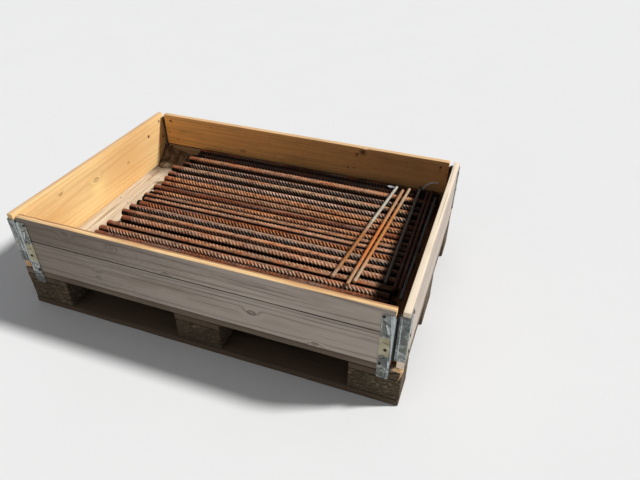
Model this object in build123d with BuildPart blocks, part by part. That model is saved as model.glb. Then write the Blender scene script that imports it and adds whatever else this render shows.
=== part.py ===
from build123d import *
import math
import os
import random

# Short ribbed steel bars laid in layers in a hinged wooden pallet collar on a flat pallet.
# X runs along the bars and the long sides, Y from front to back, Z up from the ground.
# The origin is at the middle of the footprint, on the ground. Millimetres.

# Pallet
pallet_length = 1200.0
pallet_width = 800.0
board_thickness = 22.0
wide_board = 145.0
narrow_board = 100.0
block_height = 78.0
board_chamfer = 1.5
skid_chamfer = 8.0

# Collar
collar_height = 195.0
collar_board = 20.0
front_joint_height = 115.0
back_joint_height = 70.0
collar_chamfer = 1.0
long_board_gap = 14.0
short_board_setback = 5.0
joint_clearance = 0.6

# Corner hinges
hinge_plate = 2.0
hinge_leaf_width = 34.0
hinge_leaf_drop = 44.0
hinge_leaf_top_gap = 16.0
hinge_leaf_corner = 6.0
short_leaf_foot = 27.0
short_leaf_width = 40.0
pin_diameter = 5.0
pin_clearance = 0.3
knuckle_wall = 2.2
knuckle_count = 5
knuckle_gap = 0.5
spare_hole_inset = 18.0
spare_hole_height = 112.0

# Tubular rivets that hold the leaves; an inset is from a leaf's free edge
rivet_diameter = 5.0
rivet_clearance = 0.15
rivet_head_diameter = 9.0
rivet_head_height = 1.6
rivet_head_fillet = 0.8
rivet_bore = 2.8
rivet_bore_depth = 4.0
rivet_tail_diameter = 7.5
rivet_tail_height = 1.0
rivet_top_drop = 7.0
rivet_outer_inset = 6.0
rivet_inner_inset = 17.0
long_rivet_middle_height = 60.0
long_rivet_foot_height = 8.0
short_rivet_foot_height = 9.0

# Floor sheet
sheet_thickness = 6.0
sheet_clearance = 2.0

# Bars: the leftmost one leaves these free lengths of floor at its ends
bar_core_diameter = 24.4
rib_height = 1.55
left_free_length = 136.0
right_free_length = 74.0
bar_clearance = 0.3
bar_end_chamfer = 1.0
hidden_bar_shift = 34.0
hidden_bar_seed = 7

# Free width between neighbouring bars of the top layer, front to back, as shares of the whole:
# the first and last shares are the spaces to the collar.
top_gap_shares = [2, 1, 1, 0, 1, 1, 4, 11, 6, 6, 0, 0, 1, 0, 0, 6, 8, 5, 17, 7, 24, 8, 3, 4]

# How far each bar of the top layer starts to the right of the leftmost bar, front to back
top_bar_shifts = [14, 26, 8, 20, 12, 8, 14, 40, 18, 24, 44, 42, 24, 44, 26, 40, 26, 20, 8, 36, 32, 48, 42]

# Thin rods that lie across the bars
rod_diameter = 10.0
rod_length = 550.0
rod_clearance = 0.3

# From the right board and from the back board to the middle of each rod's back end
cross_rod_right_spaces = [178.3, 153.2, 133.3]
cross_rod_back_spaces = [44.5, 59.5, 42.6]
end_rod_right_spaces = [99.3, 67.8, 54.8, 35.9]
end_rod_back_spaces = [17.1, 33.0, 29.0, 69.0]

# How each rod leans from the Y axis, in degrees
cross_rod_angles = [6.0, 3.4, 3.9]
end_rod_angles = [-1.2, -1.0, -1.1, -0.4]

# Worked out from the sizes above
bar_diameter = bar_core_diameter + 2 * rib_height
bar_pitch = bar_diameter + bar_clearance
pallet_height = 3 * board_thickness + block_height
collar_base = pallet_height
collar_top = collar_base + collar_height
inner_length = pallet_length - 2 * collar_board
inner_width = pallet_width - 2 * collar_board
floor_top = collar_base + sheet_thickness
usable_width = inner_width - 2 * bar_clearance
bar_left_end = left_free_length - inner_length / 2
bar_length = inner_length - left_free_length - right_free_length
knuckle_radius = pin_diameter / 2 + pin_clearance + knuckle_wall
long_end = inner_length / 2 - long_board_gap
short_end = pallet_width / 2 - short_board_setback
leaf_top = collar_top - hinge_leaf_top_gap
leaf_foot = collar_base - hinge_leaf_drop
short_foot = collar_base + short_leaf_foot

os.makedirs("parts", exist_ok=True)


def save(piece, name):
    """Label a finished piece and write it to its own file."""
    piece.part.label = name
    export_step(piece.part, f"parts/{name}.step")


def board(length, width, thickness, centre, chamfer_size):
    """A sawn board or block with small chamfers on its long edges; centre is its middle."""
    x, y, z = centre
    with BuildPart() as piece:
        with BuildSketch(Plane.XY.offset(z - thickness / 2)):
            with Locations((x, y)):
                Rectangle(length, width)
        extrude(amount=thickness)
        long_axis = Axis.X if length >= width else Axis.Y
        chamfer(piece.edges().filter_by(long_axis), chamfer_size)
    return piece


def make_pallet():
    """Deck boards, cross boards, blocks and skids of the pallet, each a piece of its own."""
    deck_z = pallet_height - board_thickness / 2
    cross_z = pallet_height - 1.5 * board_thickness
    block_z = board_thickness + block_height / 2

    edge_row = (pallet_width - wide_board) / 2
    free_deck = pallet_width - 3 * wide_board - 2 * narrow_board
    inner_row = (wide_board + narrow_board) / 2 + free_deck / 4
    deck_rows = {
        "deck_board_front": (-edge_row, wide_board),
        "deck_board_front_narrow": (-inner_row, narrow_board),
        "deck_board_middle": (0.0, wide_board),
        "deck_board_back_narrow": (inner_row, narrow_board),
        "deck_board_back": (edge_row, wide_board),
    }
    for name, (y, width) in deck_rows.items():
        save(board(pallet_length, width, board_thickness, (0, y, deck_z), board_chamfer), name)

    end_column = (pallet_length - wide_board) / 2
    columns = {"left": -end_column, "middle": 0.0, "right": end_column}
    for side, x in columns.items():
        piece = board(wide_board, pallet_width, board_thickness, (x, 0, cross_z), board_chamfer)
        save(piece, f"cross_board_{side}")

    skid_row = (pallet_width - narrow_board) / 2
    rows = {
        "front": (-skid_row, narrow_board),
        "middle": (0.0, wide_board),
        "back": (skid_row, narrow_board),
    }
    for row, (y, width) in rows.items():
        with BuildPart() as skid:
            with BuildSketch():
                with Locations((0, y)):
                    Rectangle(pallet_length, width)
            extrude(amount=board_thickness)
            chamfer(skid.edges().filter_by(Axis.X).group_by(Axis.Z)[-1], skid_chamfer)
        save(skid, f"skid_{row}")
        for side, x in columns.items():
            size = (wide_board, width, block_height)
            save(board(*size, (x, y, block_z), board_chamfer), f"block_{row}_{side}")


def long_rivet_planes(sx, sy):
    """Where a long side's leaf is riveted at one corner: on its outer face, facing out."""
    free_edge = long_end - hinge_leaf_width
    y = sy * (pallet_width / 2 + hinge_plate)
    places = [
        (rivet_outer_inset, leaf_top - rivet_top_drop),
        (rivet_inner_inset, collar_base + long_rivet_middle_height),
        (rivet_outer_inset, collar_base + long_rivet_foot_height),
    ]
    return [Plane(origin=(sx * (free_edge + inset), y, z), z_dir=(0, sy, 0)) for inset, z in places]


def short_rivet_planes(sx, sy):
    """Where a short side's leaf is riveted at one corner: on its outer face, facing out."""
    free_edge = short_end - short_leaf_width
    x = sx * (pallet_length / 2 + hinge_plate)
    places = [
        (rivet_outer_inset, leaf_top - rivet_top_drop),
        (rivet_inner_inset, (leaf_top + short_foot) / 2),
        (rivet_outer_inset, short_foot + short_rivet_foot_height),
    ]
    return [Plane(origin=(x, sy * (free_edge + inset), z), z_dir=(sx, 0, 0)) for inset, z in places]


def drill(piece, planes):
    """The piece with a rivet hole through it at each plane, from outside inwards."""
    with BuildPart() as drilled:
        add(piece.part)
        with Locations(*planes):
            Hole(rivet_diameter / 2 + rivet_clearance, depth=hinge_plate + collar_board)
    return drilled


def make_collar_boards():
    """The long sides are two boards high and the short sides one board."""
    long_length = 2 * long_end
    short_length = 2 * short_end
    side_y = (pallet_width - collar_board) / 2
    side_x = (pallet_length - collar_board) / 2

    for side, y, joint in (("front", -side_y, front_joint_height), ("back", side_y, back_joint_height)):
        sy = 1 if side == "back" else -1
        rivets = long_rivet_planes(-1, sy) + long_rivet_planes(1, sy)
        upper_height = collar_height - joint - joint_clearance
        lower = (0, y, collar_base + joint / 2)
        upper = (0, y, collar_top - upper_height / 2)
        lower_board = board(long_length, collar_board, joint, lower, collar_chamfer)
        upper_board = board(long_length, collar_board, upper_height, upper, collar_chamfer)
        save(drill(lower_board, rivets), f"{side}_lower_board")
        save(drill(upper_board, rivets), f"{side}_upper_board")

    for side, x in (("left", -side_x), ("right", side_x)):
        sx = 1 if side == "right" else -1
        rivets = short_rivet_planes(sx, -1) + short_rivet_planes(sx, 1)
        middle = (x, 0, collar_base + collar_height / 2)
        short_board = board(collar_board, short_length, collar_height, middle, collar_chamfer)
        save(drill(short_board, rivets), f"{side}_board")


def knuckle_levels(first, last):
    """Lowest and highest level of each knuckle between two heights, bottom to top."""
    step = (last - first) / knuckle_count
    half_gap = knuckle_gap / 2
    return [(first + i * step + half_gap, first + (i + 1) * step - half_gap) for i in range(knuckle_count)]


def make_hinges():
    """At each corner two bent steel leaves turn on a pin that stands in the open corner."""
    outer_x = pallet_length / 2
    outer_y = pallet_width / 2
    pin_x = inner_length / 2 - knuckle_radius - pin_clearance
    pin_y = short_end - knuckle_radius + hinge_plate
    levels = knuckle_levels(short_foot, leaf_top)
    bore_radius = pin_diameter / 2 + pin_clearance
    rivet_hole = rivet_diameter / 2 + rivet_clearance

    for right in (True, False):
        for back in (True, False):
            corner = f"{'back' if back else 'front'}_{'right' if right else 'left'}"
            sx = 1 if right else -1
            sy = 1 if back else -1

            # The long side's leaf: a flat plate on the board's outer face that runs down over
            # the pallet's edge, then a valley that bends in to the knuckles.
            with BuildPart() as long_leaf:
                with BuildSketch(Plane.XY.offset(leaf_foot)):
                    with BuildLine():
                        Line(
                            (sx * (long_end - hinge_leaf_width), sy * (outer_y + hinge_plate / 2)),
                            (sx * long_end, sy * (outer_y + hinge_plate / 2)),
                        )
                    trace(line_width=hinge_plate)
                extrude(amount=leaf_top - leaf_foot)
                fillet(long_leaf.edges().filter_by(Axis.Y), hinge_leaf_corner)
                with BuildSketch(Plane.XY.offset(short_foot)):
                    with BuildLine():
                        Polyline(
                            (sx * (long_end - 2 * hinge_plate), sy * (outer_y + hinge_plate / 2)),
                            (sx * (long_end + hinge_plate / 2), sy * (outer_y + hinge_plate / 2)),
                            (sx * (pin_x - knuckle_radius + hinge_plate / 2), sy * pin_y),
                        )
                    trace(line_width=hinge_plate)
                extrude(amount=leaf_top - short_foot - hinge_leaf_corner)
                for low, high in levels[::2]:
                    with BuildSketch(Plane.XY.offset(low)):
                        with Locations((sx * pin_x, sy * pin_y)):
                            Circle(knuckle_radius)
                    extrude(amount=high - low)
                for low, high in levels[1::2]:
                    with BuildSketch(Plane.XY.offset(low - knuckle_gap)):
                        with Locations((sx * pin_x, sy * pin_y)):
                            Circle(knuckle_radius + knuckle_gap)
                    extrude(amount=high - low + 2 * knuckle_gap, mode=Mode.SUBTRACT)
                with Locations((sx * pin_x, sy * pin_y, leaf_top)):
                    Hole(bore_radius, depth=leaf_top - leaf_foot)
                spare_x = sx * (long_end - hinge_leaf_width + spare_hole_inset)
                spare_z = collar_base + spare_hole_height
                spare = Plane(origin=(spare_x, sy * (outer_y + hinge_plate), spare_z), z_dir=(0, sy, 0))
                with Locations(*long_rivet_planes(sx, sy), spare):
                    Hole(rivet_hole, depth=hinge_plate)
            save(long_leaf, f"hinge_{corner}_long_leaf")

            # The short side's leaf: a plate on the outer face that wraps the board's end and
            # runs on to its own knuckles.
            with BuildPart() as short_leaf:
                with BuildSketch(Plane.XY.offset(short_foot)):
                    with BuildLine():
                        Polyline(
                            (sx * pin_x, sy * (short_end + hinge_plate / 2)),
                            (sx * (outer_x + hinge_plate / 2), sy * (short_end + hinge_plate / 2)),
                            (sx * (outer_x + hinge_plate / 2), sy * (short_end - short_leaf_width)),
                        )
                    trace(line_width=hinge_plate)
                extrude(amount=leaf_top - short_foot)
                for low, high in levels[1::2]:
                    with BuildSketch(Plane.XY.offset(low)):
                        with Locations((sx * pin_x, sy * pin_y)):
                            Circle(knuckle_radius)
                    extrude(amount=high - low)
                for low, high in levels[::2]:
                    with BuildSketch(Plane.XY.offset(low - knuckle_gap)):
                        with Locations((sx * pin_x, sy * pin_y)):
                            Circle(knuckle_radius + knuckle_gap)
                    extrude(amount=high - low + 2 * knuckle_gap, mode=Mode.SUBTRACT)
                with Locations((sx * pin_x, sy * pin_y, leaf_top)):
                    Hole(bore_radius, depth=leaf_top - short_foot)
                with Locations(*short_rivet_planes(sx, sy)):
                    Hole(rivet_hole, depth=hinge_plate)
            save(short_leaf, f"hinge_{corner}_short_leaf")

            with BuildPart() as pin:
                with BuildSketch(Plane.XY.offset(short_foot)):
                    with Locations((sx * pin_x, sy * pin_y)):
                        Circle(pin_diameter / 2)
                extrude(amount=leaf_top - short_foot)
            save(pin, f"hinge_{corner}_pin")


def make_rivets():
    """Six tubular rivets at each corner: a domed head, a shank through leaf and board, a tail."""
    for right in (True, False):
        for back in (True, False):
            sx = 1 if right else -1
            sy = 1 if back else -1
            grip = hinge_plate + collar_board
            with BuildPart() as rivets:
                for face in long_rivet_planes(sx, sy) + short_rivet_planes(sx, sy):
                    with BuildSketch(face):
                        Circle(rivet_head_diameter / 2)
                    extrude(amount=rivet_head_height)
                    outward = Axis(face.origin, face.z_dir)
                    rim = rivets.edges(Select.LAST).filter_by(GeomType.CIRCLE).sort_by(outward)[-1]
                    fillet(rim, rivet_head_fillet)
                    with BuildSketch(face):
                        Circle(rivet_diameter / 2)
                    extrude(amount=-grip)
                    with BuildSketch(face.offset(-grip)):
                        Circle(rivet_tail_diameter / 2)
                    extrude(amount=-rivet_tail_height)
                    with Locations(face.offset(rivet_head_height)):
                        Hole(rivet_bore / 2, depth=rivet_bore_depth)
            save(rivets, f"rivets_{'back' if back else 'front'}_{'right' if right else 'left'}")


def make_floor_sheet():
    """A thin wooden sheet laid on the deck inside the collar."""
    with BuildPart() as sheet:
        with BuildSketch(Plane.XY.offset(collar_base)):
            Rectangle(inner_length - 2 * sheet_clearance, inner_width - 2 * sheet_clearance)
        extrude(amount=sheet_thickness)
    save(sheet, "floor_sheet")


def rest_height(y, lower_bars):
    """Height of the middle of a bar that is set down at y on the floor or on lower bars."""
    height = floor_top + bar_clearance + bar_diameter / 2
    for lower_y, lower_z in lower_bars:
        reach = abs(y - lower_y)
        if reach < bar_pitch:
            height = max(height, lower_z + math.sqrt(bar_pitch**2 - reach**2))
    return height


def lay_bars(rows, starts, name):
    """One layer of bars: rows are their (y, z) middles, starts the x of their left ends."""
    with BuildPart() as layer:
        for (y, z), start in zip(rows, starts):
            with BuildSketch(Plane.YZ.offset(start)):
                with Locations((y, z)):
                    Circle(bar_diameter / 2)
            extrude(amount=bar_length)
        bar_ends = layer.edges().filter_by(GeomType.CIRCLE)
        chamfer(bar_ends, bar_end_chamfer)
    save(layer, name)


def make_bars():
    """Three layers: an even one on the floor, one in its valleys, and the uneven top one."""
    count = min(len(top_gap_shares) - 1, int(usable_width / bar_pitch))
    even_gap = (usable_width - bar_diameter) / (count - 1)
    bottom_ys = [-(usable_width - bar_diameter) / 2 + i * even_gap for i in range(count)]
    bottom_rows = [(y, rest_height(y, [])) for y in bottom_ys]

    middle_ys = [(near + far) / 2 for near, far in zip(bottom_ys, bottom_ys[1:])]
    middle_rows = [(y, rest_height(y, bottom_rows)) for y in middle_ys]

    free_width = usable_width - bar_diameter - (count - 1) * bar_pitch
    shares = top_gap_shares[: count + 1]
    top_rows = []
    y = -(usable_width - bar_diameter) / 2
    for i in range(count):
        y += free_width * shares[i] / sum(shares)
        top_rows.append((y, rest_height(y, middle_rows)))
        y += bar_pitch

    chance = random.Random(hidden_bar_seed)
    bottom_starts = [bar_left_end + chance.uniform(0, hidden_bar_shift) for _ in bottom_rows]
    middle_starts = [bar_left_end + chance.uniform(0, hidden_bar_shift) for _ in middle_rows]
    top_starts = [bar_left_end + shift for shift in top_bar_shifts[:count]]

    lay_bars(bottom_rows, bottom_starts, "bars_bottom_layer")
    lay_bars(middle_rows, middle_starts, "bars_middle_layer")
    lay_bars(top_rows, top_starts, "bars_top_layer")
    return top_rows


def make_rods(top_rows):
    """Thin rods that lie across the bars, on the highest of them."""
    highest = max(z for _, z in top_rows)
    rod_z = highest + bar_diameter / 2 + rod_clearance + rod_diameter / 2
    groups = {
        "cross_rod": zip(cross_rod_right_spaces, cross_rod_back_spaces, cross_rod_angles),
        "end_rod": zip(end_rod_right_spaces, end_rod_back_spaces, end_rod_angles),
    }
    for group, rods in groups.items():
        for number, (right_space, back_space, angle) in enumerate(rods, start=1):
            back_end = Vector(inner_length / 2 - right_space, inner_width / 2 - back_space, rod_z)
            run = Vector(-math.sin(math.radians(angle)), -math.cos(math.radians(angle)), 0)
            with BuildPart() as rod:
                with BuildSketch(Plane(origin=back_end, z_dir=run)):
                    Circle(rod_diameter / 2)
                extrude(amount=rod_length)
            save(rod, f"{group}_{number}")


make_pallet()
make_collar_boards()
make_hinges()
make_rivets()
make_floor_sheet()
make_rods(make_bars())
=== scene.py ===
"""Looks of a pallet collar filled with short ribbed steel bars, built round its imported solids."""

import logging
import math
import random
from dataclasses import dataclass
from enum import Enum
from typing import Dict, Iterable, List, Optional, Sequence, Tuple, Union

import bmesh
import bpy
from mathutils import Matrix, Vector, noise

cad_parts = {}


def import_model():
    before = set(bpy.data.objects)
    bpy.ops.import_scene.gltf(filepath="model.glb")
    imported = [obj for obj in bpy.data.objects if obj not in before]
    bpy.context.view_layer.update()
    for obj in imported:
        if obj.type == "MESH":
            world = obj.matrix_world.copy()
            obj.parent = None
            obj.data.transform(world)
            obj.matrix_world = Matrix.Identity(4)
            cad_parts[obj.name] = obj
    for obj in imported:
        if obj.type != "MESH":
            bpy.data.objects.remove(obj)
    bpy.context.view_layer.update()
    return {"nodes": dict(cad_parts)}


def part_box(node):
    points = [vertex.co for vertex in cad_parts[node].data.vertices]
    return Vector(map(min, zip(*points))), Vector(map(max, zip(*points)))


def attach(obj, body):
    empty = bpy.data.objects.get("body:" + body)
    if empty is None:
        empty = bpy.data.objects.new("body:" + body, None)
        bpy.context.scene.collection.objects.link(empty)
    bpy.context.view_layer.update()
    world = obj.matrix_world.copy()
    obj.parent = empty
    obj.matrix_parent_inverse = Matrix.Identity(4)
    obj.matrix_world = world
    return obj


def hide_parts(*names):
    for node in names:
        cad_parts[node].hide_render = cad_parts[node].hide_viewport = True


log = logging.getLogger("rebar_bundle")

Colour = Tuple[float, float, float]
Point = Tuple[float, float, float]
Scale = Union[float, Point]
Socket = bpy.types.NodeSocket
Source = Union[Socket, float, Sequence[float]]
Material = bpy.types.Material
Mesh = bmesh.types.BMesh
Verts = List[bmesh.types.BMVert]

MM = 0.001
BODY = "root"
FRONT_FACE = -400 * MM
BACK_FACE = 380 * MM
LEFT_FACE = -580 * MM


def tone(red: int, green: int, blue: int) -> Colour:
    """Turn a screen colour into the linear one that a shader takes.

    Args:
        red: Red from 0 to 255, as a screen shows it.
        green: Green from 0 to 255.
        blue: Blue from 0 to 255.

    Returns:
        The linear red, green and blue, each from 0 to 1.
    """

    def linear(channel: int) -> float:
        """Undo the screen's curve for one channel."""
        share = channel / 255
        return share / 12.92 if share <= 0.04045 else ((share + 0.055) / 1.055) ** 2.4

    return linear(red), linear(green), linear(blue)


def on_front(x: float, z: float) -> Point:
    """Give a place on the outer face of the front boards, from millimetres."""
    return x * MM, FRONT_FACE, z * MM


def on_back(x: float, z: float) -> Point:
    """Give a place on the inner face of the back boards, from millimetres."""
    return x * MM, BACK_FACE, z * MM


def on_left(y: float, z: float) -> Point:
    """Give a place on the inner face of the left board, from millimetres."""
    return LEFT_FACE, y * MM, z * MM


class Axis(Enum):
    """The direction in which a board's grain runs, or in which it is thin."""

    X = 0
    Y = 1
    Z = 2


@dataclass(frozen=True)
class Patches:
    """Soft patches of a tint: they begin where a cloudy pattern is low and are full where it is high."""

    tint: Colour
    strength: float
    scale: Scale
    low: float
    high: float
    shift: Point = (0, 0, 0)
    detail: float = 4.0


class Shader:
    """A node material in the making, with short calls for the nodes that it is made of."""

    def __init__(self, name: str) -> None:
        """Start a material with its Principled shader.

        Args:
            name: The material's name.
        """
        self.material = bpy.data.materials.new(name)
        self.material.use_nodes = True
        self.tree = self.material.node_tree
        self.surface = self.tree.nodes["Principled BSDF"]
        self.place = self.tree.nodes.new("ShaderNodeTexCoord").outputs["Object"]
        self.colour: Source = (0.5, 0.5, 0.5)

    def feed(self, socket: Socket, source: Source) -> None:
        """Link a socket to a source, or set it if the source is a plain value.

        Args:
            socket: The socket to fill.
            source: Another node's output, a number or a colour.
        """
        if isinstance(source, bpy.types.NodeSocket):
            self.tree.links.new(source, socket)
        elif socket.type == "RGBA":
            socket.default_value = (*source, 1.0)
        else:
            socket.default_value = source

    def node(self, kind: str, inputs: Dict[str, Source]) -> bpy.types.Node:
        """Add a node.

        Args:
            kind: Its kind, such as TexNoise.
            inputs: What each of its named inputs gets.

        Returns:
            The node.
        """
        made = self.tree.nodes.new("ShaderNode" + kind)
        for name, source in inputs.items():
            self.feed(made.inputs[name], source)
        return made

    def math(
        self, operation: str, first: Source, second: Source = 0.0, third: Source = 0.0, clamp: bool = False
    ) -> Socket:
        """Combine numbers.

        Args:
            operation: The Math node's operation, such as MAXIMUM.
            first: The first number or output.
            second: The second one.
            third: The third one, for MULTIPLY_ADD.
            clamp: Whether the result is kept from 0 to 1.

        Returns:
            The result's socket.
        """
        node = self.tree.nodes.new("ShaderNodeMath")
        node.operation = operation
        node.use_clamp = clamp
        for socket, source in zip(node.inputs, (first, second, third)):
            self.feed(socket, source)
        return node.outputs[0]

    def times(self, first: Source, second: Source) -> Socket:
        """Multiply two numbers."""
        return self.math("MULTIPLY", first, second)

    def plus(self, first: Source, second: Source) -> Socket:
        """Add two numbers."""
        return self.math("ADD", first, second)

    def minus(self, first: Source, second: Source) -> Socket:
        """Subtract the second number from the first."""
        return self.math("SUBTRACT", first, second)

    def moved(self, scale: Scale, shift: Point = (0, 0, 0), turn: Point = (0, 0, 0)) -> Socket:
        """Give the object's coordinates, scaled, turned and shifted.

        Args:
            scale: The factor along X, Y and Z, or one for all, large where the pattern is fine.
            shift: What is added afterwards.
            turn: The turn about X, Y and Z in degrees.

        Returns:
            The vector's socket.
        """
        turns = [math.radians(angle) for angle in turn]
        scales = scale if isinstance(scale, tuple) else (scale,) * 3
        inputs = {"Vector": self.place, "Location": shift, "Rotation": turns, "Scale": scales}
        return self.node("Mapping", inputs).outputs[0]

    def clouds(
        self, scale: Scale, shift: Point = (0, 0, 0), detail: float = 4.0, rough: float = 0.55
    ) -> Socket:
        """Give a cloudy pattern from 0 to 1.

        Args:
            scale: How fine it is along X, Y and Z, or everywhere.
            shift: Which part of the endless pattern is read.
            detail: How many finer layers it has.
            rough: How strong the finer layers are.

        Returns:
            The value's socket.
        """
        inputs = {"Vector": self.moved(scale, shift), "Scale": 1.0, "Detail": detail, "Roughness": rough}
        return self.node("TexNoise", inputs).outputs["Fac"]

    def cells(self, vector: Source) -> Socket:
        """Give a pattern of cells, one to a unit, each with a random value from 0 to 1."""
        return self.parts(self.node("TexVoronoi", {"Vector": vector, "Scale": 1.0}).outputs["Color"])[0]

    def mask(self, value: Source, low: float, high: float) -> Socket:
        """Rise smoothly from 0 to 1 while a value goes from low to high.

        Args:
            value: The value that is read.
            low: Where the mask is still 0.
            high: Where it is 1; below low, the mask falls instead.

        Returns:
            The mask's socket.
        """
        start, end = (0.0, 1.0) if high > low else (1.0, 0.0)
        places = {"From Min": min(low, high), "From Max": max(low, high)}
        node = self.node("MapRange", {"Value": value, "To Min": start, "To Max": end, **places})
        node.interpolation_type = "SMOOTHSTEP"
        return node.outputs["Result"]

    def between(self, value: Source, low: float, high: float, fade: float) -> Socket:
        """Give 0 outside a range and 1 inside it, from a fade away from its ends on."""
        return self.times(self.mask(value, low, low + fade), self.mask(value, high, high - fade))

    def mix(self, share: Source, first: Source, second: Source) -> Socket:
        """Mix two colours.

        Args:
            share: How much of the second colour there is.
            first: The first colour.
            second: The second one.

        Returns:
            The colour's socket.
        """
        node = self.tree.nodes.new("ShaderNodeMix")
        node.data_type = "RGBA"
        self.feed(node.inputs["Factor"], share)
        self.feed(node.inputs[6], first)
        self.feed(node.inputs[7], second)
        return node.outputs[2]

    def paint(self, tint: Source, share: Source, strength: float = 1.0) -> None:
        """Lay a tint over the material's colour, as strong as the share says times the strength."""
        self.colour = self.mix(self.times(share, strength), self.colour, tint)

    def paint_patches(self, patches: Patches) -> None:
        """Lay soft patches over the material's colour."""
        pattern = self.clouds(patches.scale, patches.shift, patches.detail)
        self.paint(patches.tint, self.mask(pattern, patches.low, patches.high), patches.strength)

    def ramp(self, value: Source, stops: Sequence[Tuple[float, Colour]]) -> Socket:
        """Turn a value into a colour.

        Args:
            value: The value that is read.
            stops: Each place from 0 to 1 with its colour.

        Returns:
            The colour's socket.
        """
        node = self.tree.nodes.new("ShaderNodeValToRGB")
        self.feed(node.inputs["Fac"], value)
        elements = node.color_ramp.elements
        while len(elements) < len(stops):
            elements.new(1.0)
        for element, (place, colour) in zip(elements, stops):
            element.position = place
            element.color = (*colour, 1.0)
        return node.outputs["Color"]

    def parts(self, vector: Source) -> Tuple[Socket, Socket, Socket]:
        """Give the X, Y and Z of a vector."""
        return tuple(self.node("SeparateXYZ", {"Vector": vector}).outputs)

    def reach(self, vector: Source) -> Socket:
        """Measure a vector.

        Args:
            vector: The vector's socket.

        Returns:
            The socket of its length.
        """
        node = self.node("VectorMath", {"Vector": vector})
        node.operation = "LENGTH"
        return node.outputs["Value"]

    def attribute(self, name: str, output: str = "Fac") -> Socket:
        """Read one of the mesh's own attributes.

        Args:
            name: The attribute's name.
            output: Fac for a number, Color for a colour.

        Returns:
            The socket of that output.
        """
        node = self.node("Attribute", {})
        node.attribute_name = name
        return node.outputs[output]

    def finish(
        self, rough: Source, height: Source, depth: float, metal: float = 0.0, gloss: float = 0.5
    ) -> Material:
        """Wire colour, roughness and relief to the shader.

        Args:
            rough: The roughness.
            height: The relief, from 0 to 1.
            depth: How deep the relief is, in metres.
            metal: How metallic the surface is.
            gloss: How strongly it mirrors; 0.5 is glossy paint.

        Returns:
            The finished material.
        """
        self.surface.inputs["Specular IOR Level"].default_value = gloss
        self.surface.inputs["Metallic"].default_value = metal
        self.feed(self.surface.inputs["Base Color"], self.colour)
        self.feed(self.surface.inputs["Roughness"], rough)
        bump = self.node("Bump", {"Distance": depth, "Height": height})
        self.feed(self.surface.inputs["Normal"], bump.outputs[0])
        return self.material


@dataclass(frozen=True)
class Knot:
    """A knot in a board: its middle, its radius, how dark it is and its colour."""

    middle: Point
    radius: float
    dark: float = 1.0
    colour: Colour = tone(92, 52, 28)


@dataclass(frozen=True)
class Mark:
    """A nail, a hole or a stain on a board: where it is, how wide, how soft its rim is and how strong.

    One that is on a face only leaves the board's edges and its other face as they are.
    """

    middle: Point
    reach: float
    colour: Colour = (0.006, 0.004, 0.003)
    soft: float = 0.25
    strength: float = 0.92
    face_only: bool = False


def stain(middle: Point, reach: float, colour: Colour, strength: float) -> Mark:
    """Give a wide, ragged stain that is on one face only."""
    return Mark(middle, reach, colour, 0.9, strength, True)


@dataclass(frozen=True)
class Grain:
    """The colours of one kind of board surface: early wood, late wood and stains."""

    pale: Colour
    dark: Colour
    stain: Colour


GREY_KNOT = tone(62, 52, 44)
FRESH_PINE = Grain(tone(250, 214, 152), tone(228, 178, 112), tone(222, 172, 114))
TANNED_PINE = Grain(tone(250, 194, 120), tone(210, 154, 90), tone(152, 112, 72))
# Darker, greyer pine, for the lower back board.
DARKER_PINE = Grain(tone(150, 126, 98), tone(112, 88, 64), tone(84, 66, 50))
GREY_PINE = Grain(tone(190, 177, 165), tone(142, 129, 118), tone(130, 116, 102))
SAWN_EDGE = Grain(tone(236, 198, 148), tone(208, 158, 106), tone(160, 120, 88))
BRIGHT_EDGE = Grain(tone(252, 218, 162), tone(226, 174, 118), tone(182, 134, 94))
PALE_EDGE = Grain(tone(252, 236, 212), tone(226, 202, 172), tone(184, 162, 136))
PALLET_GREY = Grain(tone(120, 106, 90), tone(80, 68, 56), tone(50, 42, 34))
PALLET_BROWN = Grain(tone(92, 76, 58), tone(62, 50, 38), tone(40, 33, 26))
PALE_PLY = Grain(tone(226, 212, 190), tone(188, 168, 140), tone(150, 124, 94))


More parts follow.
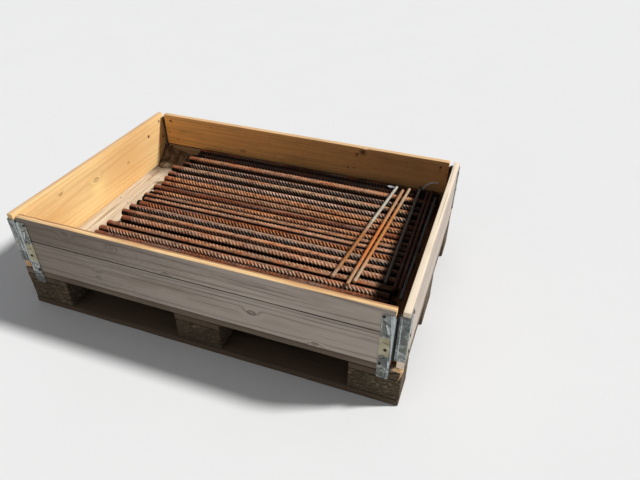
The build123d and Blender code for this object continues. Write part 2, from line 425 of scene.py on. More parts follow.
@dataclass(frozen=True)
class WoodFinish:
    """Sawn wood whose outer face, inner face and edges have aged differently.

    The grain runs along axis, and across is the board's thin direction. The growth rings lie round
    heart, a point on the middle of the log, which tilt leans in degrees. Crack and lines say how dark
    the drying cracks and the late wood are, and rubbed how strongly rust has rubbed off on the inner
    rim of the edges.
    """

    name: str
    axis: Axis
    outer: Grain
    inner: Grain
    edge: Grain
    across: Axis
    outer_place: float
    inner_place: float
    heart: Point
    tilt: Point = (0.0, 0.0, 0.0)
    ring_width: float = 5 * MM
    knots: Tuple[Knot, ...] = ()
    marks: Tuple[Mark, ...] = ()
    seam_height: Optional[float] = None
    scar: Optional[Knot] = None
    crack: float = 0.42
    rubbed: float = 0.0
    lines: float = 0.0

    @property
    def _dark_line(self) -> Colour:
        """Give the colour of the fine drying cracks."""
        return tuple(channel * 0.45 for channel in self.outer.dark)

    @property
    def _step(self) -> float:
        """Give a twentieth of the board's thickness, counted outwards."""
        return (self.outer_place - self.inner_place) * 0.05

    def _stretched(self, across: float, along: float) -> Point:
        """Give a scale with one value across the grain and another along it."""
        return tuple(along if axis == self.axis.value else across for axis in range(3))

    def _from_point(self, shader: Shader, point: Point, scale: Point, turn: Point = (0, 0, 0)) -> Socket:
        """Measure the distance from a point in scaled and turned coordinates."""
        shift = tuple(-middle * share for middle, share in zip(point, scale))
        return shader.reach(shader.moved(scale, shift, turn))

    def _from_knot(self, shader: Shader, knot: Knot) -> Socket:
        """Give the distance from a knot in knot radii, stretched along the grain."""
        return self._from_point(shader, knot.middle, self._stretched(1 / knot.radius, 0.62 / knot.radius))

    def _rings(self, shader: Shader) -> Socket:
        """Make the growth rings, bent round each knot.

        Args:
            shader: The material in the making.

        Returns:
            The socket of the rings, 0 in early wood and 1 in late wood.
        """
        radius = self._from_point(shader, self.heart, self._stretched(1.0, 0.04), self.tilt)
        wander = shader.clouds(self._stretched(9.0, 1.6), detail=2.0)
        phase = shader.plus(shader.times(radius, math.tau / self.ring_width), shader.times(wander, 5.0))
        for knot in self.knots:
            near = shader.mask(self._from_knot(shader, knot), 3.6, 0.0)
            phase = shader.plus(phase, shader.times(near, 6.0))
        return shader.math("MULTIPLY_ADD", shader.math("SINE", phase), 0.5, 0.5)

    @staticmethod
    def _grained(shader: Shader, grain: Grain, rings: Socket, streaks: Socket, clouds: Socket) -> Socket:
        """Colour one kind of surface.

        Args:
            shader: The material in the making.
            grain: The surface's colours.
            rings: The growth rings.
            streaks: The fine streaks along the grain.
            clouds: The broad pattern that its stains follow.

        Returns:
            The colour's socket.
        """
        late = shader.times(shader.math("POWER", rings, 2.4), 0.3)
        streaked = shader.math("MULTIPLY_ADD", streaks, 0.9, -0.22)
        colour = shader.mix(shader.math("ADD", late, streaked, clamp=True), grain.pale, grain.dark)
        return shader.mix(shader.times(shader.mask(clouds, 0.5, 0.78), 0.62), colour, grain.stain)

    def _handle(self, shader: Shader, depth: Socket, faces: Socket) -> None:
        """Rub rust off on the inner rim and soil the edges in patches.

        Args:
            shader: The material in the making.
            depth: The place through the board.
            faces: Where the two faces are.
        """
        step = self._step
        wavy = shader.clouds((9, 60, 60), detail=3.0)
        worn = shader.math("MULTIPLY_ADD", wavy, 5 * step, self.inner_place + 4.5 * step)
        lip = shader.math("GREATER_THAN" if step < 0 else "LESS_THAN", depth, worn)
        shader.paint(tone(150, 96, 62), lip, self.rubbed)
        soiled = shader.mask(shader.clouds((5, 30, 30), (1, 4, 2)), 0.44, 0.62)
        shader.paint(tone(204, 150, 100), shader.times(soiled, shader.minus(1.0, faces)), 0.6)

    def _knot(self, shader: Shader) -> None:
        """Draw each knot as a dark ring with a softer core.

        Args:
            shader: The material in the making.
        """
        for knot in self.knots:
            span = self._from_knot(shader, knot)
            ring = shader.mask(shader.math("ABSOLUTE", shader.minus(span, 0.85)), 0.32, 0.0)
            core = shader.times(shader.mask(span, 1.0, 0.55), 0.55)
            shader.paint(knot.colour, shader.math("MAXIMUM", ring, core), 0.72 * knot.dark)

    def _mark(self, shader: Shader, outside: Socket, inside: Socket) -> None:
        """Draw the nails, holes and stains.

        Args:
            shader: The material in the making.
            outside: Where the outer face is.
            inside: Where the inner face is.
        """
        middle_depth = (self.outer_place + self.inner_place) / 2
        for mark in self.marks:
            span = self._from_point(shader, mark.middle, (1 / mark.reach,) * 3)
            if mark.soft > 0.5:
                ragged = shader.plus(span, shader.clouds((60, 60, 160), detail=3.0))
                span = shader.minus(ragged, 0.5)
            blot = shader.mask(span, 1 + mark.soft, 1 - mark.soft)
            if mark.face_only:
                outward = (mark.middle[self.across.value] - middle_depth) * self._step
                blot = shader.times(blot, outside if outward > 0 else inside)
            shader.paint(mark.colour, blot, mark.strength)

    def build(self) -> Material:
        """Make the material.

        Returns:
            The finished material.
        """
        shader = Shader(self.name)
        rings = self._rings(shader)
        streaks = shader.clouds(self._stretched(260.0, 7.0), rough=0.65)
        clouds = shader.clouds(self._stretched(14.0, 3.2), (3.1, 1.7, 5.3))
        depth = shader.parts(shader.place)[self.across.value]
        step = self._step
        outside = shader.mask(depth, self.outer_place - 1.6 * step, self.outer_place - 0.9 * step)
        inside = shader.mask(depth, self.inner_place + 1.6 * step, self.inner_place + 0.9 * step)
        faces = shader.plus(outside, inside)
        shader.colour = self._grained(shader, self.edge, rings, streaks, clouds)
        for side, grain in ((outside, self.outer), (inside, self.inner)):
            if grain is not self.edge:
                shader.paint(self._grained(shader, grain, rings, streaks, clouds), side)
        if self.rubbed > 0:
            self._handle(shader, depth, faces)
        self._knot(shader)
        self._mark(shader, outside, inside)
        checks = shader.clouds(self._stretched(170.0, 2.4), (7, 2, 4), detail=1.0)
        shader.paint(self._dark_line, shader.mask(checks, 0.64, 0.69), self.crack)
        if self.lines > 0:
            late = shader.times(shader.mask(rings, 0.87, 0.99), shader.mask(clouds, 0.34, 0.58))
            shader.paint(self._dark_line, shader.times(late, faces), self.lines)
        if self.seam_height is not None:
            height = shader.parts(shader.place)[2]
            away = shader.math("ABSOLUTE", shader.minus(height, self.seam_height))
            shader.paint(tone(34, 26, 20), shader.mask(away, 1.9 * MM, 0.9 * MM))
        if self.scar is not None:
            ragged = shader.times(shader.clouds(70.0, detail=3.0), 1.3)
            bare = shader.plus(self._from_knot(shader, self.scar), ragged)
            shader.paint(tone(232, 196, 150), shader.mask(bare, 1.6, 1.3))
        relief = shader.plus(shader.times(streaks, 0.7), shader.times(rings, 0.3))
        return shader.finish(0.78, relief, 0.5 * MM, gloss=0.25)


@dataclass(frozen=True)
class ChipboardFinish:
    """Pressed wood chips of a pallet's blocks, dark brown."""

    name: str = "pressed_chips"
    damp: Patches = Patches(tone(56, 47, 34), 0.65, (9, 9, 14), 0.38, 0.66)

    def build(self) -> Material:
        """Make the material.

        Returns:
            The finished material.
        """
        shader = Shader(self.name)
        flakes = shader.cells(shader.moved((130, 130, 330), turn=(24, 14, 0)))
        shader.colour = shader.ramp(
            flakes,
            [
                (0.0, tone(56, 47, 36)),
                (0.5, tone(80, 68, 53)),
                (0.85, tone(100, 87, 69)),
                (1.0, tone(130, 116, 94)),
            ],
        )
        shader.paint_patches(self.damp)
        relief = shader.plus(shader.times(flakes, 0.6), shader.times(shader.clouds(420.0), 0.4))
        return shader.finish(0.9, relief, 1.6 * MM, gloss=0.15)


@dataclass(frozen=True)
class ZincFinish:
    """Galvanised sheet, dulled and stained by weather, with rust where it is worn.

    The places are those of the long side's leaf: its cream band, the panel above it with painted shade, the
    wedge of painted highlight behind a leaning crease with a painted shade line, and the painted shade in
    the valley of the fold, which starts, is full, fades and ends.
    """

    name: str = "weathered_zinc"
    leaf_start: float = 398.5 * MM
    leaf_place: float = 400 * MM
    band_edge: float = 562 * MM
    band_foot: float = 178 * MM
    band_top: float = 250 * MM
    panel_edge: float = 549 * MM
    panel_top: float = 306 * MM
    crease_place: float = 577 * MM
    crease_lean: float = 0.075
    valley: Tuple[float, ...] = (561 * MM, 562.8 * MM, 569 * MM, 570.6 * MM)
    valley_lean: float = -0.02
    yellowed: Patches = Patches(tone(150, 146, 118), 0.6, 16.0, 0.5, 0.66, (64, 112, 32), 3.0)
    rust: Patches = Patches(tone(116, 70, 42), 0.7, 90.0, 0.66, 0.76, (810, 90, 450))

    def _leaf(self, shader: Shader) -> None:
        """Draw the band, then painted light: shade on the panel, a highlight on the wedge, shade along the
        crease and in the valley.

        Args:
            shader: The material in the making.
        """
        x, y, height = shader.parts(shader.place)
        across = shader.math("ABSOLUTE", x)
        on_leaf = shader.mask(shader.math("ABSOLUTE", y), self.leaf_start, self.leaf_place)
        ragged = shader.math("MULTIPLY_ADD", shader.clouds(60.0, detail=3.0), 24 * MM, -12 * MM)
        level = shader.plus(height, ragged)
        band = shader.between(level, self.band_foot, self.band_top, 8 * MM)
        flat = shader.times(shader.mask(across, self.band_edge, self.band_edge - 5 * MM), on_leaf)
        shader.paint(tone(182, 172, 134), shader.times(band, flat), 0.72)
        # Painted shade on the panel above the band.
        panel = shader.between(level, self.band_top, self.panel_top, 10 * MM)
        flat = shader.times(shader.mask(across, self.panel_edge, self.panel_edge - 6 * MM), on_leaf)
        shader.paint(tone(92, 92, 78), shader.times(panel, flat), 0.7)
        # Painted highlight on the wedge behind the crease.
        leaning = shader.plus(across, shader.times(height, self.crease_lean))
        wedge = shader.mask(leaning, self.crease_place + 0.2 * MM, self.crease_place + 0.8 * MM)
        shader.paint(tone(192, 200, 200), shader.times(wedge, on_leaf), 0.7)
        # A painted shade line along the crease.
        away = shader.math("ABSOLUTE", shader.minus(leaning, self.crease_place))
        crease = shader.mask(away, 1.1 * MM, 0.5 * MM)
        shader.paint(tone(52, 56, 56), shader.times(crease, on_leaf), 0.8)
        # Painted shade in the valley of the fold, the gap between the leaves.
        leaning = shader.plus(across, shader.times(height, self.valley_lean))
        start, full, fading, end = self.valley
        valley = shader.times(shader.mask(leaning, start, full), shader.mask(leaning, end, fading))
        shader.paint(tone(22, 23, 22), valley, 0.92)

    def build(self) -> Material:
        """Make the material.

        Returns:
            The finished material.
        """
        shader = Shader(self.name)
        shader.colour = shader.ramp(
            shader.cells(shader.moved(130.0)),
            [(0.0, tone(122, 128, 126)), (0.55, tone(144, 149, 146)), (1.0, tone(184, 190, 187))],
        )
        dull = shader.mask(shader.clouds(34.0), 0.44, 0.58)
        shader.paint(tone(78, 82, 77), dull, 0.75)
        self._leaf(shader)
        shader.paint_patches(self.yellowed)
        shader.paint_patches(self.rust)
        rough = shader.math("MULTIPLY_ADD", dull, 0.2, 0.42)
        return shader.finish(rough, shader.clouds(300.0, detail=3.0), 0.3 * MM, metal=0.35)


@dataclass(frozen=True)
class RustFinish:
    """Rusty rolled steel: a colour for the ribs and one for the core, both stored on the mesh.

    A near-black tint paints shade into the hollows between ribs, over the dark rust that lies there, and
    onto the flanks where the bars meet, and paints the right board's shadow on the stretch beyond
    shaded_from.
    Plain_end is where the plain brown of a bar's left end stops, and young_length how far its redder rust
    reaches.
    """

    name: str = "rusty_ribbed_steel"
    # The near-black tint of the painted shade; the next field says how far up the flanks it reaches.
    painted_shade: Colour = tone(12, 6, 4)
    shade_rise: float = 0.26
    shaded_from: float = 462 * MM
    shade_fade: float = 22 * MM
    ribs_from: float = 24 * MM
    plain_end: float = 60 * MM
    young_length: float = 640 * MM
    spots: Tuple[Patches, ...] = (
        Patches(tone(208, 108, 56), 0.52, (16, 80, 80), 0.47, 0.62, (5, 3, 8), 5.0),
        Patches(tone(214, 160, 118), 0.35, 300.0, 0.5, 0.7, detail=2.0),
        Patches(tone(156, 138, 124), 0.48, (7, 52, 52), 0.48, 0.62, (2, 6, 3)),
        Patches(tone(62, 32, 22), 0.56, (60, 110, 110), 0.5, 0.62, (1, 9, 4), 5.0),
    )

    def _paint_shade(self, shader: Shader, crest: Socket, along: Socket) -> None:
        """Paint shade into the hollows and onto the flanks, and the right board's shadow on the bars' right
        end.

        Args:
            shader: The material in the making.
            crest: Where the ribs' crests are.
            along: The distance from the bar's left end.
        """
        # Painted shade in the hollows between ribs, over their dark rust.
        dull = shader.times(shader.attribute("hollow"), shader.minus(1.0, crest))
        ribbed = shader.mask(along, self.ribs_from, self.ribs_from + 12 * MM)
        shader.paint(self.painted_shade, shader.times(dull, ribbed), 0.95)
        # Painted shade on the lower flanks, where each bar meets its neighbours.
        flank_shade = shader.mask(shader.attribute("flank"), 0.0, self.shade_rise)
        below_crest = shader.math("MULTIPLY_ADD", crest, -0.25, 1.0)
        shader.paint(self.painted_shade, shader.times(flank_shade, below_crest))
        # Painted shadow of the right board on the bars beyond shaded_from.
        x = shader.parts(shader.place)[0]
        right_board_shadow = shader.mask(x, self.shaded_from, self.shaded_from + self.shade_fade)
        shader.paint(self.painted_shade, right_board_shadow, 0.82)

    def build(self) -> Material:
        """Make the material.

        Returns:
            The finished material.
        """
        shader = Shader(self.name)
        along = shader.attribute("along")
        crest = shader.mask(shader.attribute("rib"), 0.08, 0.62)
        patch = shader.clouds((26, 60, 60))
        shader.colour = shader.attribute("core_colour", "Color")
        # The crests take the lighter rib colour: rubbed steel and, with it, a painted highlight where the
        # ribs catch the light.
        worn = shader.times(crest, shader.mask(patch, 0.22, 0.48))
        shader.paint(shader.attribute("rib_colour", "Color"), worn)
        for spots in self.spots:
            shader.paint_patches(spots)
        shader.paint(tone(118, 58, 36), shader.mask(along, self.young_length, 0.0), 0.2)
        end = shader.mask(along, self.plain_end, 22 * MM)
        blotch = shader.mask(shader.clouds(46.0, detail=3.0), 0.3, 0.6)
        shader.paint(tone(144, 84, 60), shader.times(end, blotch))
        self._paint_shade(shader, crest, along)
        rough = shader.math("MULTIPLY_ADD", patch, 0.3, 0.55)
        return shader.finish(rough, shader.clouds(520.0, rough=0.7), 0.7 * MM, gloss=0.08)


@dataclass(frozen=True)
class RodFinish:
    """Drawn rod with its pale mill skin and rust that comes through in places.

    Rusty_between gives the two places along Y between which the rust is closed.
    """

    name: str
    skin: Colour
    rust: Colour
    rusted: float
    seed: float
    rusty_between: Optional[Tuple[float, float]] = None
    rust_fade: float = 110 * MM

    def build(self) -> Material:
        """Make the material.

        Returns:
            The finished material.
        """
        shader = Shader(self.name)
        shift = (self.seed, self.seed * 1.7, self.seed * 2.3)
        start = 0.62 - 0.3 * self.rusted
        amount = shader.mask(shader.clouds((60, 9, 60), shift), start, start + 0.18)
        if self.rusty_between is not None:
            near, far = self.rusty_between
            y = shader.parts(shader.place)[1]
            bent = shader.plus(y, shader.times(shader.clouds(30.0, detail=3.0), 0.12))
            zone = shader.between(bent, near, far + self.rust_fade, self.rust_fade)
            amount = shader.math("ADD", zone, shader.times(amount, 0.25), clamp=True)
        shader.colour = shader.mix(amount, self.skin, self.rust)
        shader.paint_patches(Patches(tone(78, 50, 36), 0.6, (200, 110, 200), 0.55, 0.68, shift))
        rough = shader.math("MULTIPLY_ADD", amount, 0.3, 0.5)
        return shader.finish(rough, shader.clouds(600.0), 0.4 * MM, gloss=0.12)


@dataclass(frozen=True)
class SheetFinish:
    """The thin floor sheet: pale plywood with dust and cracks, darker along its back edge.

    Back_edge is that edge's place along Y, and the bars' rust has stained the sheet beyond stained_from.
    """

    back_edge: float
    name: str = "dusty_plywood"
    stained_from: float = -430 * MM
    spots: Tuple[Patches, ...] = (
        Patches(PALE_PLY.stain, 0.6, (70, 1.6, 70), 0.62, 0.66, (2, 5, 1), 2.0),
        Patches(tone(194, 172, 140), 0.4, (7, 5, 7), 0.42, 0.7, detail=5.0),
        Patches(tone(120, 86, 58), 0.6, 120.0, 0.68, 0.74, detail=3.0),
    )

    def build(self) -> Material:
        """Make the material.

        Returns:
            The finished material.
        """
        shader = Shader(self.name)
        grain = shader.clouds((120, 5, 120), rough=0.6)
        shader.colour = shader.mix(shader.mask(grain, 0.34, 0.66), PALE_PLY.pale, PALE_PLY.dark)
        for spots in self.spots:
            shader.paint_patches(spots)
        x, y, _ = shader.parts(shader.place)
        spread = shader.clouds(11.0, detail=5.0)
        # Darker towards the back edge.
        far = shader.minus(shader.plus(y, shader.times(spread, 0.16)), self.back_edge)
        shader.paint(tone(74, 56, 40), shader.mask(far, -90 * MM, 20 * MM))
        under = shader.plus(x, shader.times(spread, 0.05))
        stained = shader.mask(under, self.stained_from, self.stained_from + 60 * MM)
        shader.paint(tone(112, 66, 42), stained, 0.75)
        return shader.finish(0.85, grain, 0.4 * MM, gloss=0.2)


def soft_noise(point: Vector, size: float, seed: float) -> float:
    """Give a smooth random value between about -1 and 1 at a point, its hills a size apart in metres."""
    return noise.noise(point / size + Vector((seed, seed * 1.3, seed * 0.7)))


def add_object(name: str, data: bpy.types.ID) -> bpy.types.Object:
    """Put an object with the given data into the scene.

    Args:
        name: The object's name.
        data: Its mesh, lamp or camera.

    Returns:
        The object.
    """
    made = bpy.data.objects.new(name, data)
    bpy.context.scene.collection.objects.link(made)
    return made


def add_block(mesh: Mesh, middle: Vector, size: Vector) -> Verts:
    """Add a plain block to a mesh.

    Args:
        mesh: The mesh.
        middle: The block's middle.
        size: Its size along X, Y and Z.

    Returns:
        Its vertices.
    """
    made = bmesh.ops.create_cube(mesh, size=1.0)["verts"]
    bmesh.ops.scale(mesh, vec=size, verts=made)
    bmesh.ops.translate(mesh, vec=middle, verts=made)
    return made


def ease_edges(mesh: Mesh, edges: Sequence[bmesh.types.BMEdge], width: float, segments: int = 2) -> None:
    """Round edges off to a width in metres."""
    bmesh.ops.bevel(
        mesh, geom=edges, offset=width, segments=segments, profile=0.5, affect="EDGES", material=-1
    )


def smooth_outward(mesh: Mesh) -> None:
    """Turn every face outward and shade it smoothly.

    Args:
        mesh: The mesh.
    """
    bmesh.ops.recalc_face_normals(mesh, faces=mesh.faces)
    for face in mesh.faces:
        face.smooth = True


def make_piece(
    name: str, mesh: Mesh, material: Material, stands_for: Iterable[str] = ()
) -> bpy.types.Object:
    """Turn a bmesh into a finished piece that rides on the body.

    Args:
        name: The piece's name.
        mesh: Its shape, freed here.
        material: Its finish.
        stands_for: The solids that it stands for.

    Returns:
        The piece's object.
    """
    data = bpy.data.meshes.new(name)
    mesh.to_mesh(data)
    mesh.free()
    data.materials.append(material)
    piece = add_object(name, data)
    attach(piece, BODY)
    if stands_for:
        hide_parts(*stands_for)
    log.info("%s: %d faces", name, len(data.polygons))
    return piece


@dataclass(frozen=True)
class Chip:
    """A place where a board's edge is broken away: its middle, its reach and its depth."""

    middle: Point
    reach: float
    depth: float


@dataclass
class SawnBoard:
    """A sawn board or block with eased, worn edges, as large as its solid.

    It is cut every step along its axis and every few steps across it, so that it can wear unevenly.
    """

    node: str
    axis: Axis
    finish: Material
    slot: str
    seed: float
    ease: float = 1.6 * MM
    wear: float = 0.9 * MM
    step: float = 16 * MM
    chips: Tuple[Chip, ...] = ()

    @staticmethod
    def _runs(edge: bmesh.types.BMEdge, axis: int) -> bool:
        """Tell whether an edge runs along an axis."""
        run = edge.verts[1].co - edge.verts[0].co
        return abs(run[axis]) > 0.99 * run.length

    def _blank(self) -> Mesh:
        """Make the plain board with its cuts.

        Returns:
            Its mesh.
        """
        low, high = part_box(self.node)
        size = high - low
        mesh = bmesh.new()
        add_block(mesh, (low + high) / 2, size)
        for axis in range(3):
            step = self.step if axis == self.axis.value else 2.4 * self.step
            cuts = int(size[axis] / step)
            along = [edge for edge in mesh.edges if self._runs(edge, axis)]
            if cuts:
                bmesh.ops.subdivide_edges(mesh, edges=along, cuts=cuts, use_grid_fill=True)
        return mesh

    def build(self) -> bpy.types.Object:
        """Make the board.

        Returns:
            The finished piece.
        """
        low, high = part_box(self.node)
        middle = (low + high) / 2
        mesh = self._blank()
        sharp = [edge for edge in mesh.edges if edge.calc_face_angle(0.0) > math.radians(60)]
        ease_edges(mesh, sharp, self.ease)
        crosswise = Vector([0.0 if axis == self.axis.value else 1.0 for axis in range(3)])
        for vert in mesh.verts:
            place = vert.co.copy()
            slow = 0.5 + 0.5 * soft_noise(place, 110 * MM, self.seed)
            quick = 0.5 + 0.5 * soft_noise(place, 20 * MM, self.seed + 5)
            worn = self.wear * (0.7 * slow + 0.3 * quick)
            for axis in range(3):
                if axis != self.axis.value:
                    side = 1 if place[axis] > middle[axis] else -1
                    vert.co[axis] -= side * worn
                else:
                    vert.co[axis] -= (place[axis] - middle[axis]) / (high - low)[axis] * worn
            for chip in self.chips:
                away = (place - Vector(chip.middle)).length / chip.reach
                if away < 1:
                    inward = (middle - place) * crosswise
                    vert.co += inward.normalized() * chip.depth * (1 - away * away)
        smooth_outward(mesh)
        return make_piece(self.node + "_wood", mesh, self.finish, [self.node])


@dataclass
class Splinter:
    """The long sliver that hangs from the broken corner of the deck, thinner towards its foot."""

    top: Point = (598 * MM, -400.6 * MM, 143 * MM)
    foot: Point = (578 * MM, -400.6 * MM, 80 * MM)
    outline: Tuple[Point, ...] = ((-4.5, -1.2, 0), (0.5, -1.6, 0), (0.5, 1.4, 0), (-4.5, 1.6, 0))
    bow: float = 5.4 * MM
    taper: float = 0.1
    steps: int = 8

    def build(self) -> None:
        """Draw the outline down from the top to the foot in a bow."""
        mesh = bmesh.new()
        top, foot = Vector(self.top), Vector(self.foot)
        corners = [top + Vector(offset) * MM for offset in self.outline]
        rings = [mesh.faces.new([mesh.verts.new(corner) for corner in corners])]
        for step in range(1, self.steps + 1):
            made = bmesh.ops.extrude_face_region(mesh, geom=[rings[-1]])["geom"]
            rings.append([item for item in made if isinstance(item, bmesh.types.BMFace)][0])
            share = step / self.steps
            aim = top.lerp(foot, share) + Vector((self.bow * math.sin(math.pi * share * 0.9), 0, 0))
            verts = list(rings[-1].verts)
            middle = sum((vert.co for vert in verts), Vector()) / len(verts)
            bmesh.ops.translate(mesh, vec=aim - middle, verts=verts)
            left = 1 - self.taper * step
            bmesh.ops.scale(mesh, vec=(left, left, 1), space=Matrix.Translation(-aim), verts=verts)
        bmesh.ops.delete(mesh, geom=rings[1:-1], context="FACES_ONLY")
        bmesh.ops.recalc_face_normals(mesh, faces=mesh.faces)
        faces = (FRONT_FACE - 10 * MM, FRONT_FACE + 10 * MM)
        finish = WoodFinish(
            "fresh_splinter", Axis.Z, SAWN_EDGE, SAWN_EDGE, SAWN_EDGE, Axis.Y, *faces, on_front(550, 100)
        ).build()
        make_piece("deck_corner_splinter", mesh, finish)


@dataclass
class Pallet:
    """The flat block pallet under the collar."""

    board_rows: Tuple[str, ...] = ("front", "front_narrow", "middle", "back_narrow", "back")
    columns: Tuple[str, ...] = ("left", "middle", "right")
    rows: Tuple[str, ...] = ("front", "middle", "back")
    broken_corner: Point = (598 * MM, -400 * MM, 140 * MM)
    half_board: float = 11 * MM
    log_place: float = 110 * MM
    log_depth: float = 60 * MM

    def _finish(self, layer: str, node: str, axis: Axis, grain: Grain) -> Material:
        """Make one layer's finish, with its own place in the log.

        Args:
            layer: The layer's name.
            node: One of its boards.
            axis: The direction of their grain.
            grain: Their colours.

        Returns:
            The finished material.
        """
        height = sum(corner.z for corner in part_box(node)) / 2
        faces = (height + self.half_board, height - self.half_board)
        heart = (0.0, self.log_place, height - self.log_depth)
        scar = Knot(self.broken_corner, 20 * MM) if layer == "deck_board" else None
        return WoodFinish(
            f"{layer}_wood", axis, grain, grain, grain, Axis.Z, *faces, heart, (0, 0, 0.5), scar=scar
        ).build()

    def build(self) -> None:
        """Make the deck, the cross boards, the skids, the splinter and the blocks."""
        pressed = ChipboardFinish().build()
        seed = 1.0
        for layer, names, axis, grain in (
            ("deck_board", self.board_rows, Axis.X, PALLET_GREY),
            ("cross_board", self.columns, Axis.Y, PALLET_BROWN),
            ("skid", self.rows, Axis.X, PALLET_BROWN),
        ):
            finish = self._finish(layer, f"{layer}_{names[0]}", axis, grain)
            for name in names:
                seed += 1.0
                node = f"{layer}_{name}"
                chips = (Chip(self.broken_corner, 30 * MM, 9 * MM),) if node == "deck_board_front" else ()
                SawnBoard(
                    node, axis, finish, "pallet_board", seed, ease=2.2 * MM, wear=1.6 * MM, chips=chips
                ).build()
        Splinter().build()
        for row in self.rows:
            for column in self.columns:
                seed += 1.0
                node = f"block_{row}_{column}"
                SawnBoard(
                    node, Axis.X, pressed, "pallet_block", seed, ease=3 * MM, wear=2.4 * MM, step=7 * MM
                ).build()


@dataclass
class CollarBoard:
    """One board of the collar, named for its solid, grey outside.

    Heart, tilt, ring_width, crack, rubbed and lines are those of its WoodFinish. Seam is the height of
    the joint to the board above or below, and seed says which pattern of wear it has.
    """

    node: str
    inner: Grain
    edge: Grain
    heart: Point
    tilt: Point
    ring_width: float
    seed: float
    seam: Optional[float] = None
    knots: Tuple[Knot, ...] = ()
    marks: Tuple[Mark, ...] = ()
    chips: Tuple[Chip, ...] = ()
    crack: float = 0.42
    rubbed: float = 0.0
    lines: float = 0.0

    def build(self) -> None:
        """Make the board from its solid's box."""
        low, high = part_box(self.node)
        long_side = high.x - low.x > high.y - low.y
        axis, across = (Axis.X, Axis.Y) if long_side else (Axis.Y, Axis.X)
        places = (low[across.value], high[across.value])
        finish = WoodFinish(
            f"{self.node}_grain", axis, GREY_PINE, self.inner, self.edge, across,
            max(places, key=abs), min(places, key=abs), self.heart, self.tilt, self.ring_width, self.knots,
            self.marks, self.seam, None, self.crack, self.rubbed, self.lines,
        ).build()
        SawnBoard(self.node, axis, finish, "collar_board", self.seed, chips=self.chips).build()


@dataclass
class Collar:
    """The six boards of the collar, each with its own grain, knots and wear."""

    front_joint: float = 259.3 * MM
    back_joint: float = 214.3 * MM

    def _front(self) -> List[CollarBoard]:
        """Describe the two front boards.

        Returns:
            The upper and the lower board.
        """
        upper = CollarBoard(
            "front_upper_board", TANNED_PINE, BRIGHT_EDGE, (0, -340 * MM, 310 * MM), (0, 1.3, 0), 9 * MM, 11,
            self.front_joint, crack=0.6, rubbed=0.8, lines=0.42,
            knots=(
                Knot(on_front(-394, 320), 7 * MM, 0.7, GREY_KNOT),
                Knot(on_front(-240, 309), 5 * MM, 0.7, GREY_KNOT),
                Knot(on_front(-74, 268), 5 * MM, 0.8, GREY_KNOT),
            ),
            # Darker towards the board's left end.
            marks=(stain(on_front(-520, 320), 400 * MM, tone(92, 80, 66), 0.7),),
        )
        lower = CollarBoard(
            "front_lower_board", TANNED_PINE, SAWN_EDGE, (0, -350 * MM, 190 * MM), (0, -0.9, 0), 10 * MM, 12,
            self.front_joint, crack=0.6, lines=0.42,
            knots=(
                Knot(on_front(181, 207), 8 * MM, 1.1, GREY_KNOT),
                Knot(on_front(362, 155), 6 * MM, 1.0, GREY_KNOT),
                Knot(on_front(-312, 207), 4 * MM, 0.9, GREY_KNOT),
                Knot(on_front(-315, 185), 4 * MM, 0.8, GREY_KNOT),
            ),
            # Darker towards the board's left end.
            marks=(stain(on_front(-560, 200), 360 * MM, tone(104, 94, 80), 0.55),),
        )
        return [upper, lower]

    def _back(self) -> List[CollarBoard]:
        """Describe the two back boards.

        Returns:
            The upper and the lower board.
        """
        upper = CollarBoard(
            "back_upper_board", TANNED_PINE, SAWN_EDGE, (0, 340 * MM, 270 * MM), (0, 0.8, 0), 9 * MM, 13,
            self.back_joint, crack=0.24,
            knots=(Knot(on_back(-225, 240), 7 * MM, 0.8),),
            marks=(
                # Darker towards the board's right end.
                stain(on_back(500, 250), 500 * MM, tone(122, 94, 66), 0.6),
                Mark(on_back(258, 323), 11 * MM, tone(70, 38, 16), 0.8),
                Mark(on_back(236, 310), 6 * MM, tone(84, 48, 22), 0.8),
                Mark(on_back(205, 252), 3.5 * MM, tone(74, 42, 20), 0.6),
                Mark(on_back(227, 254), 3 * MM, tone(74, 42, 20), 0.6),
                Mark(on_back(420, 310), 2 * MM),
                Mark(on_back(538, 302), 2.4 * MM),
                Mark(on_back(-550, 266), 3 * MM),
                Mark(on_back(-516, 239), 2.8 * MM),
                Mark(on_back(-534, 311), 2 * MM),
                Mark(on_back(-357, 318), 2 * MM),
                Mark(on_back(-325, 226), 2.4 * MM),
            ),
            chips=(Chip(on_back(262, 339), 16 * MM, 3.5 * MM),),
        )
        lower = CollarBoard(
            "back_lower_board", DARKER_PINE, SAWN_EDGE, (0, 340 * MM, 170 * MM), (0, -0.8, 0), 9 * MM, 14,
            self.back_joint,
        )
        return [upper, lower]

    def _sides(self) -> List[CollarBoard]:
        """Describe the left and the right board.

        Returns:
            The left and the right board.
        """
        left = CollarBoard(
            "left_board", FRESH_PINE, SAWN_EDGE, (-635 * MM, 0, 250 * MM), (1.2, 0, 2.6), 12 * MM, 15,
            crack=0.12, lines=0.06,
            knots=(
                Knot(on_left(-40, 264), 8 * MM, 1.2),
                Knot(on_left(-204, 300), 5 * MM, 1.0),
                Knot(on_left(138, 243), 4 * MM, 1.1),
            ),
            marks=(
                # A hole, drawn only as a near-black disc: the painted shade inside it.
                Mark(on_left(282, 284), 6 * MM, strength=1.0),
                stain(on_left(140, 250), 130 * MM, tone(212, 148, 82), 0.45),
                stain(on_left(-300, 200), 100 * MM, tone(214, 152, 86), 0.45),
                stain(on_left(-40, 235), 30 * MM, tone(255, 226, 150), 0.5),
            ),
        )
        right = CollarBoard(
            "right_board", TANNED_PINE, PALE_EDGE, (640 * MM, 0, 240 * MM), (-1.0, 0, 0), 10 * MM, 16
        )
        return [left, right]

    def build(self) -> None:
        """Make the six boards."""
        for board in self._front() + self._back() + self._sides():
            board.build()


